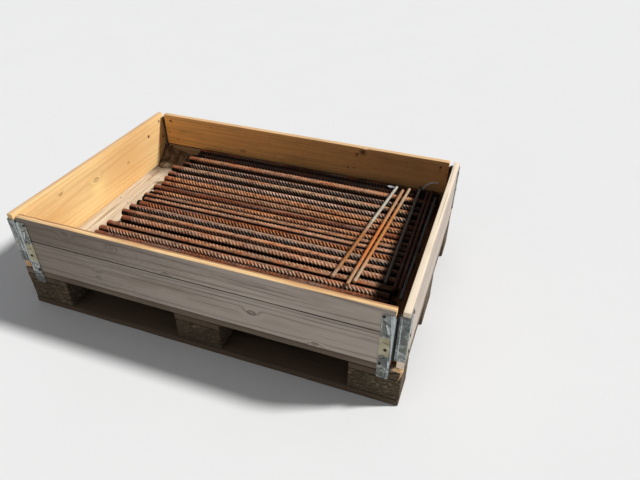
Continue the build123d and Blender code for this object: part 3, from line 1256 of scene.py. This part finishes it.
class Corner(Enum):
    """The collar's corners, each with its signs along X and Y."""

    FRONT_LEFT = (-1, -1)
    FRONT_RIGHT = (1, -1)
    BACK_LEFT = (-1, 1)
    BACK_RIGHT = (1, 1)


class Relief(Enum):
    """A kind of mark stamped or scratched into a leaf: how far it stands out and how it looks."""

    # RIDGE is raised zinc; the bright marks carry painted highlights along ridges and edges, the dark ones
    # painted shade lines under the ridges.
    RIDGE = 1.0 * MM
    BRIGHT = 0.6 * MM
    GRIME = 0.3 * MM


@dataclass(frozen=True)
class Stamp:
    """One long mark on a leaf, from one end to the other, in millimetres across and up the leaf."""

    start: Tuple[float, float]
    end: Tuple[float, float]
    width: float


LONG_LEAF_STAMPS: Dict[Relief, Tuple[Stamp, ...]] = {
    Relief.RIDGE: (
        Stamp((534, 305), (560, 291), 5.0),
        Stamp((557, 321), (562, 292), 3.0),
        Stamp((538, 235), (562, 229), 6.0),
        Stamp((553, 203), (563, 197), 3.5),
        Stamp((551, 170), (553, 148), 4.5),
        Stamp((541, 124), (540, 104), 7.0),
        Stamp((551, 126), (550, 104), 6.0),
        Stamp((561, 124), (560, 106), 6.0),
    ),
    # Painted highlights along the ridges and the leaf's right edge.
    Relief.BRIGHT: (
        Stamp((545, 292), (556, 262), 5.0),
        Stamp((561, 319), (562.5, 297), 5.0),
        Stamp((563, 286), (564.2, 150), 2.6),
        Stamp((560, 168), (562, 140), 5.0),
        Stamp((540, 122), (539, 106), 3.0),
        Stamp((561, 121), (560, 110), 3.0),
        Stamp((534.5, 310), (533.5, 264), 1.6),
    ),
    # Painted shade lines along the ridges' undersides.
    Relief.GRIME: (
        Stamp((534, 301), (559, 288), 2.4),
        Stamp((541, 297), (548, 266), 1.8),
        Stamp((556, 321), (561, 294), 1.8),
        Stamp((538, 231), (561, 225), 1.8),
        Stamp((535, 168), (545, 172), 2.2),
        Stamp((545, 172), (551, 179), 2.2),
        Stamp((536, 136), (558, 131), 2.2),
        Stamp((546, 126), (545, 103), 1.8),
        Stamp((556, 126), (555, 104), 1.8),
    ),
}
# The short leaf's fold, a painted highlight.
SHORT_LEAF_FOLD = Stamp((581, 320), (581, 176), 2.4)


@dataclass
class CornerHinge:
    """The stamped relief of one corner's two hinge leaves, with its painted highlights and shade lines; the
    leaves stay as they are.
    """

    corner: Corner
    finishes: Dict[Relief, Material]
    long_face: float = 402 * MM
    short_face: float = 397 * MM
    short_middle: float = 593 * MM
    waffle_rows: int = 9
    waffle_width: float = 9 * MM
    waffle_rise: float = 1.6 * MM
    foot_height: float = 171 * MM
    top_height: float = 323 * MM

    @staticmethod
    def _mark(mesh: Mesh, stamp: Stamp, kind: Relief, face: float) -> None:
        """Add one long, low, rounded mark to a face that looks along -Y.

        Args:
            mesh: The mesh.
            stamp: The mark.
            kind: Its kind.
            face: How far the face lies from the middle.
        """
        start = Vector((stamp.start[0], 0, stamp.start[1])) * MM
        end = Vector((stamp.end[0], 0, stamp.end[1])) * MM
        made = bmesh.ops.create_uvsphere(mesh, u_segments=12, v_segments=8, radius=0.5)["verts"]
        size = (stamp.width * MM, 2 * kind.value, (end - start).length)
        bmesh.ops.scale(mesh, vec=size, verts=made)
        turn = math.atan2(end.x - start.x, end.z - start.z)
        bmesh.ops.rotate(mesh, matrix=Matrix.Rotation(turn, 3, "Y"), verts=made)
        bmesh.ops.translate(mesh, vec=(start + end) / 2 + Vector((0, -face, 0)), verts=made)

    def _waffle(self, mesh: Mesh) -> None:
        """Add the column of rounded squares to the short leaf.

        Args:
            mesh: The mesh.
        """
        step = (self.top_height - self.foot_height) / self.waffle_rows
        for row in range(self.waffle_rows):
            middle = Vector((self.short_middle, -self.short_face, self.foot_height + (row + 0.5) * step))
            made = add_block(mesh, middle, Vector((self.waffle_width, self.waffle_rise, 0.62 * step)))
            ease_edges(mesh, list({edge for vert in made for edge in vert.link_edges}), 0.7 * MM)

    def build(self) -> None:
        """Add the marks of the long leaf and the squares of the short leaf."""
        sx, sy = self.corner.value
        name = self.corner.name.lower()
        for kind, finish in self.finishes.items():
            mesh = bmesh.new()
            for stamp in LONG_LEAF_STAMPS[kind]:
                self._mark(mesh, stamp, kind, self.long_face)
            if kind is Relief.RIDGE:
                self._waffle(mesh)
            elif kind is Relief.BRIGHT:
                self._mark(mesh, SHORT_LEAF_FOLD, kind, self.short_face)
            bmesh.ops.scale(mesh, vec=(sx, -sy, 1), verts=mesh.verts)
            smooth_outward(mesh)
            make_piece(f"hinge_{name}_{kind.name.lower()}", mesh, finish)


@dataclass
class LooseBits:
    """Crumbs, soil and scraps that lie in the collar."""

    floor_height: float = 150 * MM
    bar_top: float = 228 * MM
    corner_clod: Point = (-560 * MM, 361 * MM, 150 * MM)
    clod_size: Point = (40 * MM, 36 * MM, 90 * MM)
    clods: int = 26
    crumbs: int = 90
    bank_low: Point = (-578 * MM, 312 * MM, 150 * MM)
    bank_high: Point = (-424 * MM, 378 * MM, 152 * MM)
    bank_rise: float = 52.0
    flake_place: Tuple[float, float] = (380 * MM, 338 * MM)
    flake_size: Point = (26 * MM, 15 * MM, 3 * MM)
    strip_middle: Point = (537 * MM, 0 * MM, 205 * MM)
    strip_radius: float = 50 * MM
    strip_half: float = 2.5 * MM
    strip_near: float = 376.4 * MM
    strip_far: float = 379 * MM
    seed: int = 8

    def _lump(self, mesh: Mesh, middle: Vector, size: Vector, detail: int, rough: float) -> None:
        """Add one uneven lump that lies flat on its underside.

        Args:
            mesh: The mesh.
            middle: The middle of its underside.
            size: Its size along X, Y and Z, twice its height.
            detail: How finely it is divided.
            rough: How uneven it is, in metres.
        """
        made = bmesh.ops.create_icosphere(mesh, subdivisions=detail, radius=0.5)["verts"]
        bmesh.ops.scale(mesh, vec=size, verts=made)
        bmesh.ops.translate(mesh, vec=middle, verts=made)
        for vert in made:
            vert.co.z += rough * soft_noise(vert.co, 6 * rough, self.seed)
            vert.co.z = max(vert.co.z, middle.z)

    def _bank(self, mesh: Mesh) -> None:
        """Add the rubbly bank of soil that rises towards the back board.

        Args:
            mesh: The mesh.
        """
        low, high = Vector(self.bank_low), Vector(self.bank_high)
        size = high - low
        add_block(mesh, (low + high) / 2, size)
        for axis, cuts in ((0, 34), (1, 18)):
            along = [edge for edge in mesh.edges if abs((edge.verts[1].co - edge.verts[0].co)[axis]) > 0]
            bmesh.ops.subdivide_edges(mesh, edges=along, cuts=cuts, use_grid_fill=True)
        for vert in mesh.verts:
            if vert.co.z > low.z + size.z / 2:
                back = (vert.co.y - low.y) / size.y
                right = (vert.co.x - low.x) / size.x
                rim = min(1.0, 8 * back, 8 * (1 - right))
                rubble = 5 * soft_noise(vert.co, 13 * MM, 3.0) + 3.5 * soft_noise(vert.co, 6 * MM, 4.0)
                rise = self.bank_rise * back ** 1.5 * (1 - 0.7 * right) + 4 + rubble
                vert.co.z = low.z + (1 + rim * max(0.0, rise)) * MM

    def _soil(self, chance: random.Random) -> Mesh:
        """Heap the soil in the far corner.

        Args:
            chance: The source of random numbers.

        Returns:
            The heap's mesh.
        """
        heap = bmesh.new()
        self._bank(heap)
        for _ in range(self.clods):
            width = chance.uniform(24, 60) * MM
            x = self.bank_low[0] + width / 2 + chance.uniform(0, 100) * MM
            y = self.bank_high[1] - width / 2 - chance.uniform(0, 40) * MM
            size = Vector((width, width * chance.uniform(0.6, 1), chance.uniform(10, 26) * MM))
            self._lump(heap, Vector((x, y, self.floor_height)), size, 3, 3 * MM)
        self._lump(heap, Vector(self.corner_clod), Vector(self.clod_size), 3, 3 * MM)
        return heap

    def _crumbs(self, chance: random.Random) -> Mesh:
        """Scatter the crumbs on the floor, more of them and larger ones towards the back.

        Args:
            chance: The source of random numbers.

        Returns:
            The crumbs' mesh.
        """
        crumbs = bmesh.new()
        for _ in range(self.crumbs):
            size = (1.2 + 3.6 * chance.random() ** 2) * MM
            x = chance.uniform(-575, -440) * MM
            y = (370 - 740 * chance.random() ** 1.6) * MM
            shape = Vector((size * 1.5, size, size))
            self._lump(crumbs, Vector((x, y, self.floor_height)), shape, 1, 0.4 * MM)
        return crumbs

    def _flake(self) -> Mesh:
        """Lay the thin, wavy flake on the bars.

        Returns:
            The flake's mesh.
        """
        flake = bmesh.new()
        made = bmesh.ops.create_icosphere(flake, subdivisions=3, radius=0.5)["verts"]
        bmesh.ops.scale(flake, vec=self.flake_size, verts=made)
        for vert in made:
            vert.co.z += 2 * MM * soft_noise(vert.co, 10 * MM, 2.0)
        bmesh.ops.translate(flake, vec=(*self.flake_place, self.bar_top + 2.2 * MM), verts=made)
        return flake

    def _strip(self) -> Mesh:
        """Lean the curved strip of sheet against the back board, in the right-hand corner.

        Returns:
            The strip's mesh.
        """
        strip = bmesh.new()
        centre = Vector(self.strip_middle)
        foot = centre.x - self.strip_radius
        left, right = foot - self.strip_half, foot + self.strip_half
        near, far = self.strip_near, self.strip_far
        corners = [(x, y, centre.z) for x, y in ((left, near), (right, near), (right, far), (left, far))]
        face = strip.faces.new([strip.verts.new(corner) for corner in corners])
        bmesh.ops.spin(
            strip, geom=[face], axis=(0, 1, 0), cent=centre, dvec=(0, 0, 0),
            angle=math.radians(92), steps=14, use_duplicate=False,
        )
        bmesh.ops.recalc_face_normals(strip, faces=strip.faces)
        ease_edges(strip, strip.edges, 0.4 * MM, segments=1)
        return strip

    def build(self, soil: Material, crumb: Material, tin: Material) -> None:
        """Lay the soil in the far corner, the crumbs on the floor and two scraps beside and on the bars.

        Args:
            soil: The finish of the soil.
            crumb: The finish of the crumbs.
            tin: The finish of the scraps.
        """
        chance = random.Random(self.seed)
        make_piece("soil_in_corner", self._soil(chance), soil)
        make_piece("floor_crumbs", self._crumbs(chance), crumb)
        make_piece("pale_flake", self._flake(), tin)
        make_piece("curved_strip", self._strip(), tin)


@dataclass(frozen=True)
class Rust:
    """The colours of a bar's core and ribs, and how much painted shade, over their dark rust, the hollows
    between its ribs get.
    """

    core: Colour
    ribs: Colour
    hollow: float


class Look(Enum):
    """How a bar has rusted; DARK is painted shade instead of rust."""

    BEIGE = Rust(tone(174, 126, 98), tone(255, 226, 192), 0.84)
    PALE = Rust(tone(184, 136, 112), tone(255, 226, 204), 0.88)
    SILVER = Rust(tone(180, 144, 120), tone(246, 224, 202), 0.84)
    OLIVE = Rust(tone(208, 164, 126), tone(246, 214, 180), 0.7)
    EMBER = Rust(tone(100, 42, 22), tone(255, 164, 96), 1.0)
    MUDDY = Rust(tone(156, 114, 88), tone(224, 190, 160), 0.5)
    UMBER = Rust(tone(112, 68, 50), tone(158, 98, 72), 0.8)
    RED = Rust(tone(186, 104, 70), tone(255, 168, 120), 0.9)
    ORANGE = Rust(tone(220, 148, 102), tone(255, 192, 140), 0.66)
    SMOOTH = Rust(tone(226, 170, 134), tone(238, 186, 148), 0.4)
    BROWN = Rust(tone(208, 152, 114), tone(244, 186, 144), 0.62)
    TAN = Rust(tone(240, 182, 138), tone(255, 206, 160), 0.4)
    # DARK paints shade: the back rows lie in the back board's shadow and the lower layers are seen only
    # through the gaps.
    DARK = Rust(tone(32, 21, 17), tone(76, 54, 44), 0.8)


@dataclass(frozen=True)
class LaidBar:
    """How one bar of a layer has rusted, how far it is rolled in degrees and how much painted shade its
    flanks get.
    """

    look: Look
    roll: float
    painted_shade: float = 0.0


TOP_BARS: Tuple[LaidBar, ...] = (
    LaidBar(Look.BROWN, 40),
    LaidBar(Look.TAN, 100),
    LaidBar(Look.ORANGE, 70),
    LaidBar(Look.BEIGE, 20),
    LaidBar(Look.UMBER, 120, 0.2),
    LaidBar(Look.MUDDY, 48, -0.04),
    LaidBar(Look.BROWN, 143, 0.08),
    LaidBar(Look.SMOOTH, 20, -0.06),
    LaidBar(Look.BROWN, 98, 0.18),
    LaidBar(Look.SILVER, 80, 0.2),
    LaidBar(Look.EMBER, 60, -0.1),
    LaidBar(Look.SMOOTH, 146, 0.22),
    LaidBar(Look.BROWN, 128, 0.24),
    LaidBar(Look.ORANGE, 40, 0.2),
    LaidBar(Look.UMBER, 84, 0.1),
    LaidBar(Look.ORANGE, 48, -0.1),
    LaidBar(Look.ORANGE, 20, -0.1),
    LaidBar(Look.PALE, 50, 0.14),
    LaidBar(Look.OLIVE, 76, 0.04),
    LaidBar(Look.PALE, 50, 0.35),
    LaidBar(Look.BROWN, 112, -0.06),
    # The two back rows, in the back board's shadow, get the painted-shade look.
    LaidBar(Look.DARK, 60, 0.7),
    LaidBar(Look.DARK, 90, 0.2),
)


@dataclass
class RibbedBar:
    """One hot rolled bar: a round core with two rows of slanting crescent ribs."""

    length: float
    over_ribs: float = 27.5 * MM
    rib_height: float = 1.55 * MM
    rib_root: float = 0.5 * MM
    pitch: float = 12 * MM
    rib_foot: float = 6.4 * MM
    rib_crest: float = 2.6 * MM
    row_span: float = 156.0
    plain_end: float = 26 * MM
    end_ease: float = 1.6 * MM
    slant: float = 50.0
    steps: int = 6
    sides: int = 24

    @property
    def _core_radius(self) -> float:
        """Give the radius of the round core."""
        return self.over_ribs / 2 - self.rib_height

    def _rib(self, mesh: Mesh) -> Verts:
        """Make one rib about the X axis, its middle on +Z at x = 0.

        Args:
            mesh: The mesh.

        Returns:
            The rib's vertices.
        """
        crest_radius = self.over_ribs / 2
        foot_radius = self._core_radius - self.rib_root
        span = math.radians(self.row_span)
        travel = self._core_radius * span / math.tan(math.radians(self.slant))
        outline = (
            (-self.rib_foot / 2, foot_radius),
            (-self.rib_crest / 2, crest_radius),
            (self.rib_crest / 2, crest_radius),
            (self.rib_foot / 2, foot_radius),
        )
        start = Matrix.Rotation(-span / 2, 3, "X")
        corners = [mesh.verts.new(start @ Vector((x - travel / 2, 0.0, radius))) for x, radius in outline]
        first = mesh.faces.new(corners)
        bmesh.ops.spin(
            mesh, geom=[first], axis=(1, 0, 0), cent=(0, 0, 0), dvec=(travel / self.steps, 0, 0),
            angle=span, steps=self.steps, use_duplicate=False,
        )
        bmesh.ops.recalc_face_normals(mesh, faces=mesh.faces)
        rib = mesh.verts.layers.float["rib"]
        for vert in mesh.verts:
            radius = math.hypot(vert.co.y, vert.co.z)
            if radius > self._core_radius:
                turned = abs(math.atan2(vert.co.y, vert.co.z)) / (span / 2)
                height = math.cos(min(turned, 1.0) * math.pi / 2) ** 0.8
                lowered = (foot_radius + (crest_radius - foot_radius) * max(height, 0.12)) / radius
                bmesh.ops.scale(mesh, vec=(1, lowered, lowered), verts=[vert])
                vert[rib] = height
        return list(mesh.verts)

    def _rows(self, mesh: Mesh) -> None:
        """Set ribs along the bar, one row on top and one below, half a pitch apart.

        Args:
            mesh: The mesh.
        """
        unit = self._rib(mesh)
        unit_geometry = unit + list(mesh.edges) + list(mesh.faces)
        count = int((self.length - 2 * self.plain_end) / self.pitch)
        first = (self.length - (count - 1) * self.pitch) / 2
        for index in range(count):
            for row in range(2):
                copied = bmesh.ops.duplicate(mesh, geom=unit_geometry)["geom"]
                verts = [item for item in copied if isinstance(item, bmesh.types.BMVert)]
                half_turn = Matrix.Rotation(math.pi * row, 4, "X")
                place = Matrix.Translation((first + (index + 0.5 * row) * self.pitch, 0, 0))
                bmesh.ops.transform(mesh, matrix=place @ half_turn, verts=verts)
        bmesh.ops.delete(mesh, geom=unit, context="VERTS")

    def _core(self, mesh: Mesh) -> None:
        """Add the round core with eased rims.

        Args:
            mesh: The mesh.
        """
        radius = self._core_radius
        core = bmesh.ops.create_cone(
            mesh, cap_ends=True, segments=self.sides, radius1=radius, radius2=radius, depth=self.length
        )["verts"]
        bmesh.ops.rotate(mesh, matrix=Matrix.Rotation(math.pi / 2, 3, "Y"), verts=core)
        bmesh.ops.translate(mesh, vec=(self.length / 2, 0, 0), verts=core)
        edges = {edge for vert in core for edge in vert.link_edges}
        rims = [edge for edge in edges if max(len(face.verts) for face in edge.link_faces) > 4]
        ease_edges(mesh, rims, self.end_ease)

    def build(self) -> bpy.types.Mesh:
        """Make the bar along +X from x = 0, its first rib row on top.

        Returns:
            Its mesh, with attributes for the ribs, their hollows and the distance from its left end.
        """
        mesh = bmesh.new()
        rib = mesh.verts.layers.float.new("rib")
        along = mesh.verts.layers.float.new("along")
        hollow = mesh.verts.layers.float.new("hollow")
        self._rows(mesh)
        self._core(mesh)
        for vert in mesh.verts:
            vert[along] = vert.co.x
            if math.hypot(vert.co.y, vert.co.z) <= self._core_radius + 0.05 * MM:
                vert[rib] = 0.0
            turned = abs(math.atan2(vert.co.y, vert.co.z))
            from_row = min(turned, math.pi - turned) / math.radians(self.row_span / 2)
            vert[hollow] = math.cos(min(from_row, 1.0) * math.pi / 2) ** 0.7
        for face in mesh.faces:
            face.smooth = True
        made = bpy.data.meshes.new("ribbed_bar")
        mesh.to_mesh(made)
        mesh.free()
        return made


@dataclass
class BarStack:
    """The three layers of bars, each bar where its solid lies."""

    steel: Material
    # Where the flanks' painted shade begins, and how much of it the lower layers get.
    shade_start: float = 0.66
    lower_shade: float = 0.6
    seed: int = 5

    @staticmethod
    def _solids(node: bpy.types.Object) -> List[Tuple[Vector, Vector]]:
        """Measure each solid in a node.

        Args:
            node: The node's object.

        Returns:
            The low and high corner of each solid's box, from front to back.
        """
        mesh = bmesh.new()
        mesh.from_mesh(node.data)
        bmesh.ops.remove_doubles(mesh, verts=mesh.verts, dist=0.01 * MM)
        left = set(mesh.verts)
        boxes = []
        while left:
            group = [left.pop()]
            for vert in group:
                for edge in vert.link_edges:
                    other = edge.other_vert(vert)
                    if other in left:
                        left.discard(other)
                        group.append(other)
            low = Vector([min(vert.co[axis] for vert in group) for axis in range(3)])
            high = Vector([max(vert.co[axis] for vert in group) for axis in range(3)])
            boxes.append((low, high))
        mesh.free()
        return sorted(boxes, key=lambda box: box[0].y)

    def _layer(self, name: str, node: bpy.types.Object, bars: Sequence[LaidBar], steps: int) -> None:
        """Lay one layer.

        Args:
            name: The node that the layer stands for.
            node: Its object.
            bars: How each bar looks, from front to back.
            steps: How many steps each rib has.
        """
        boxes = self._solids(node)
        length = boxes[0][1].x - boxes[0][0].x
        kind = RibbedBar(length, steps=steps).build()
        layer = bmesh.new()
        core_colour = layer.verts.layers.float_color.new("core_colour")
        rib_colour = layer.verts.layers.float_color.new("rib_colour")
        flank = layer.verts.layers.float.new("flank")
        chance = random.Random(self.seed + steps)
        for (low, high), bar in zip(boxes, bars):
            before = len(layer.verts)
            layer.from_mesh(kind)
            hollow = layer.verts.layers.float["hollow"]
            layer.verts.ensure_lookup_table()
            added = layer.verts[before:]
            middle = (low + high) / 2
            place = Matrix.Translation((low.x, middle.y, middle.z))
            rolled = place @ Matrix.Rotation(math.radians(bar.roll), 4, "X")
            bmesh.ops.transform(layer, matrix=rolled, verts=added)
            rust = bar.look.value
            shade = chance.uniform(0.9, 1.1)
            for vert in added:
                vert[core_colour] = (*(channel * shade for channel in rust.core), 1.0)
                vert[rib_colour] = (*(channel * shade for channel in rust.ribs), 1.0)
                vert[hollow] *= rust.hollow
                # The flank value grows down the bar's side: how much painted shade that vertex gets.
                rise = (vert.co.z - middle.z) / (middle.z - low.z)
                vert[flank] = min(max(self.shade_start + bar.painted_shade - rise, 0.0), 1.0)
        bpy.data.meshes.remove(kind)
        make_piece(name + "_ribbed", layer, self.steel, [name])

    def build(self, nodes: Dict[str, bpy.types.Object]) -> None:
        """Lay the three layers.

        Args:
            nodes: The frame's nodes by name.
        """
        chance = random.Random(self.seed)
        # The lower layers, seen only through the gaps, mostly get the near-black look, a painted shade.
        looks = (Look.DARK, Look.DARK, Look.DARK, Look.RED)
        for name in ("bars_bottom_layer", "bars_middle_layer"):
            count = len(self._solids(nodes[name]))
            bars = []
            for _ in range(count):
                bars.append(LaidBar(chance.choice(looks), chance.uniform(0, 180), self.lower_shade))
            self._layer(name, nodes[name], bars, 4)
        self._layer("bars_top_layer", nodes["bars_top_layer"], TOP_BARS, 6)


@dataclass
class Studio:
    """The pale floor, the soft lamps and the camera at the photograph's angle."""

    eye: Point = (0.7052, -1.3474, 1.2346)
    yaw: float = 19.33
    pitch: float = -36.26
    roll: float = 0.74
    focal_pixels: float = 549.8
    image_width: float = 640.0
    sensor: float = 36.0
    floor_size: float = 14.0
    key_way: Point = (0.68, 0.27, 0.686)
    key_strength: float = 3.7
    key_width: float = 6.4
    fill_way: Point = (-0.35, -0.75, 0.55)
    fill_distance: float = 5.0
    fill_side: float = 3.4
    fill_power: float = 15.0
    aim_height: float = 200 * MM

    def _camera(self) -> None:
        """Place the camera."""
        data = bpy.data.cameras.new("camera")
        data.sensor_width = self.sensor
        data.lens = self.focal_pixels / self.image_width * self.sensor
        camera = add_object("camera", data)
        turn = Matrix.Rotation(math.radians(self.yaw), 4, "Z")
        turn @= Matrix.Rotation(math.radians(90 + self.pitch), 4, "X")
        turn @= Matrix.Rotation(math.radians(self.roll), 4, "Z")
        camera.matrix_world = Matrix.Translation(self.eye) @ turn
        bpy.context.scene.camera = camera

    @staticmethod
    def _hang(data: bpy.types.Light, way: Vector) -> bpy.types.Object:
        """Hang a lamp that shines from a direction.

        Args:
            data: The lamp's data.
            way: The direction.

        Returns:
            The lamp's object.
        """
        lamp = add_object(data.name, data)
        lamp.rotation_mode = "QUATERNION"
        lamp.rotation_quaternion = way.to_track_quat("Z", "Y")
        return lamp

    def _lamps(self) -> None:
        """Hang the key light, equally strong everywhere, and the large fill light."""
        key = bpy.data.lights.new("key", "SUN")
        key.energy = self.key_strength
        key.angle = math.radians(self.key_width)
        self._hang(key, Vector(self.key_way))
        fill = bpy.data.lights.new("fill", "AREA")
        fill.size = self.fill_side
        fill.energy = self.fill_power
        direction = Vector(self.fill_way).normalized()
        lamp = self._hang(fill, direction)
        lamp.location = direction * self.fill_distance + Vector((0, 0, self.aim_height))

    def _floor(self) -> None:
        """Lay the pale floor."""
        shader = Shader("pale_floor")
        cloud = shader.clouds(3.0, detail=3.0)
        shader.colour = shader.mix(cloud, (0.80, 0.80, 0.79), (0.83, 0.83, 0.82))
        mesh = bmesh.new()
        bmesh.ops.create_grid(mesh, x_segments=1, y_segments=1, size=self.floor_size / 2)
        data = bpy.data.meshes.new("floor")
        mesh.to_mesh(data)
        mesh.free()
        data.materials.append(shader.finish(0.9, cloud, 0.05 * MM))
        floor = add_object("floor", data)

    def _sky(self) -> None:
        """Fill the studio with even pale light, white where the camera sees it."""
        world = bpy.data.worlds.new("studio")
        world.use_nodes = True
        tree = world.node_tree
        back = tree.nodes["Background"]
        back.inputs["Color"].default_value = (0.93, 0.95, 1.0, 1.0)
        paths = tree.nodes.new("ShaderNodeLightPath")
        seen = tree.nodes.new("ShaderNodeMath")
        seen.operation = "MAXIMUM"
        tree.links.new(paths.outputs["Is Camera Ray"], seen.inputs[0])
        tree.links.new(paths.outputs["Is Glossy Ray"], seen.inputs[1])
        level = tree.nodes.new("ShaderNodeMapRange")
        level.inputs["To Min"].default_value = 0.2
        level.inputs["To Max"].default_value = 0.95
        tree.links.new(seen.outputs[0], level.inputs["Value"])
        tree.links.new(level.outputs[0], back.inputs["Strength"])
        bpy.context.scene.world = world

    def build(self) -> None:
        """Set up the stage."""
        self._camera()
        self._lamps()
        self._floor()
        self._sky()
        bpy.context.scene.view_settings.view_transform = "Standard"


def dress(node: bpy.types.Object, material: Material) -> None:
    """Give a solid that stays its finish.

    Args:
        node: The solid's object.
        material: Its finish.
    """
    node.data.materials.clear()
    node.data.materials.append(material)
    log.info("%s keeps its solid", node.name)


def main() -> None:
    """Build the scene piece by piece."""
    logging.basicConfig(level=logging.INFO, format="%(message)s")
    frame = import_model()
    nodes: Dict[str, bpy.types.Object] = frame["nodes"]
    Studio().build()
    Pallet().build()
    Collar().build()

    zinc = ZincFinish().build()
    # Near-black painted shade: for the pin in the gap between the leaves and for the dark lines under the
    # ridges.
    gap_shade = RodFinish("hinge_gap_shade", tone(38, 40, 39), tone(34, 29, 24), 0.6, 8.0).build()
    # Painted highlight for the bright marks along the ridges and edges.
    glint = RodFinish("zinc_highlight", tone(222, 228, 230), tone(190, 194, 188), 0.3, 9.0).build()
    rivet = RodFinish("dark_rivet", tone(52, 46, 42), tone(78, 52, 38), 0.5, 10.0).build()
    for name, node in nodes.items():
        if name.startswith("rivets_"):
            dress(node, rivet)
        elif name.startswith("hinge_"):
            # The pin takes the near-black painted shade of the gap between the leaves.
            dress(node, gap_shade if name.endswith("_pin") else zinc)
    for corner in Corner:
        CornerHinge(corner, {Relief.RIDGE: zinc, Relief.BRIGHT: glint, Relief.GRIME: gap_shade}).build()
    soil = RodFinish("dry_soil", tone(122, 104, 84), tone(84, 68, 52), 0.8, 11.0).build()
    crumb = RodFinish("wood_crumbs", tone(150, 112, 78), tone(112, 74, 50), 0.7, 12.0).build()
    flake = RodFinish("pale_flake_skin", tone(196, 200, 204), tone(150, 148, 146), 0.3, 13.0).build()
    LooseBits().build(soil, crumb, flake)

    _, sheet_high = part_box("floor_sheet")
    dress(nodes["floor_sheet"], SheetFinish(sheet_high.y).build())

    BarStack(RustFinish().build()).build(nodes)

    rods = (
        ("cross_rod_1", "pale_rod", tone(184, 180, 164), tone(160, 108, 66), 0.4, (-0.19, 0.07)),
        ("cross_rod_2", "orange_rod", tone(176, 138, 104), tone(196, 118, 62), 0.6, (-0.13, 0.1)),
        ("cross_rod_3", "cream_rod", tone(184, 160, 130), tone(186, 124, 72), 0.4, (-0.12, 0.22)),
        # The end rods lie in the right board's shadow: their colours are darkened well below their own, a
        # painted shadow.
        ("end_rod_1", "grey_rod", tone(60, 58, 54), tone(46, 32, 25), 0.5, None),
        ("end_rod_2", "brown_rod", tone(44, 30, 24), tone(50, 28, 20), 0.8, None),
        ("end_rod_3", "red_rod", tone(46, 30, 24), tone(54, 30, 21), 0.8, None),
        ("end_rod_4", "blue_grey_rod", tone(56, 59, 63), tone(40, 31, 27), 0.45, None),
    )
    for seed, (rod, name, skin, rust, rusted, rusty_between) in enumerate(rods, start=1):
        dress(nodes[rod], RodFinish(name, skin, rust, rusted, seed, rusty_between).build())


if __name__ == "__main__":
    main()
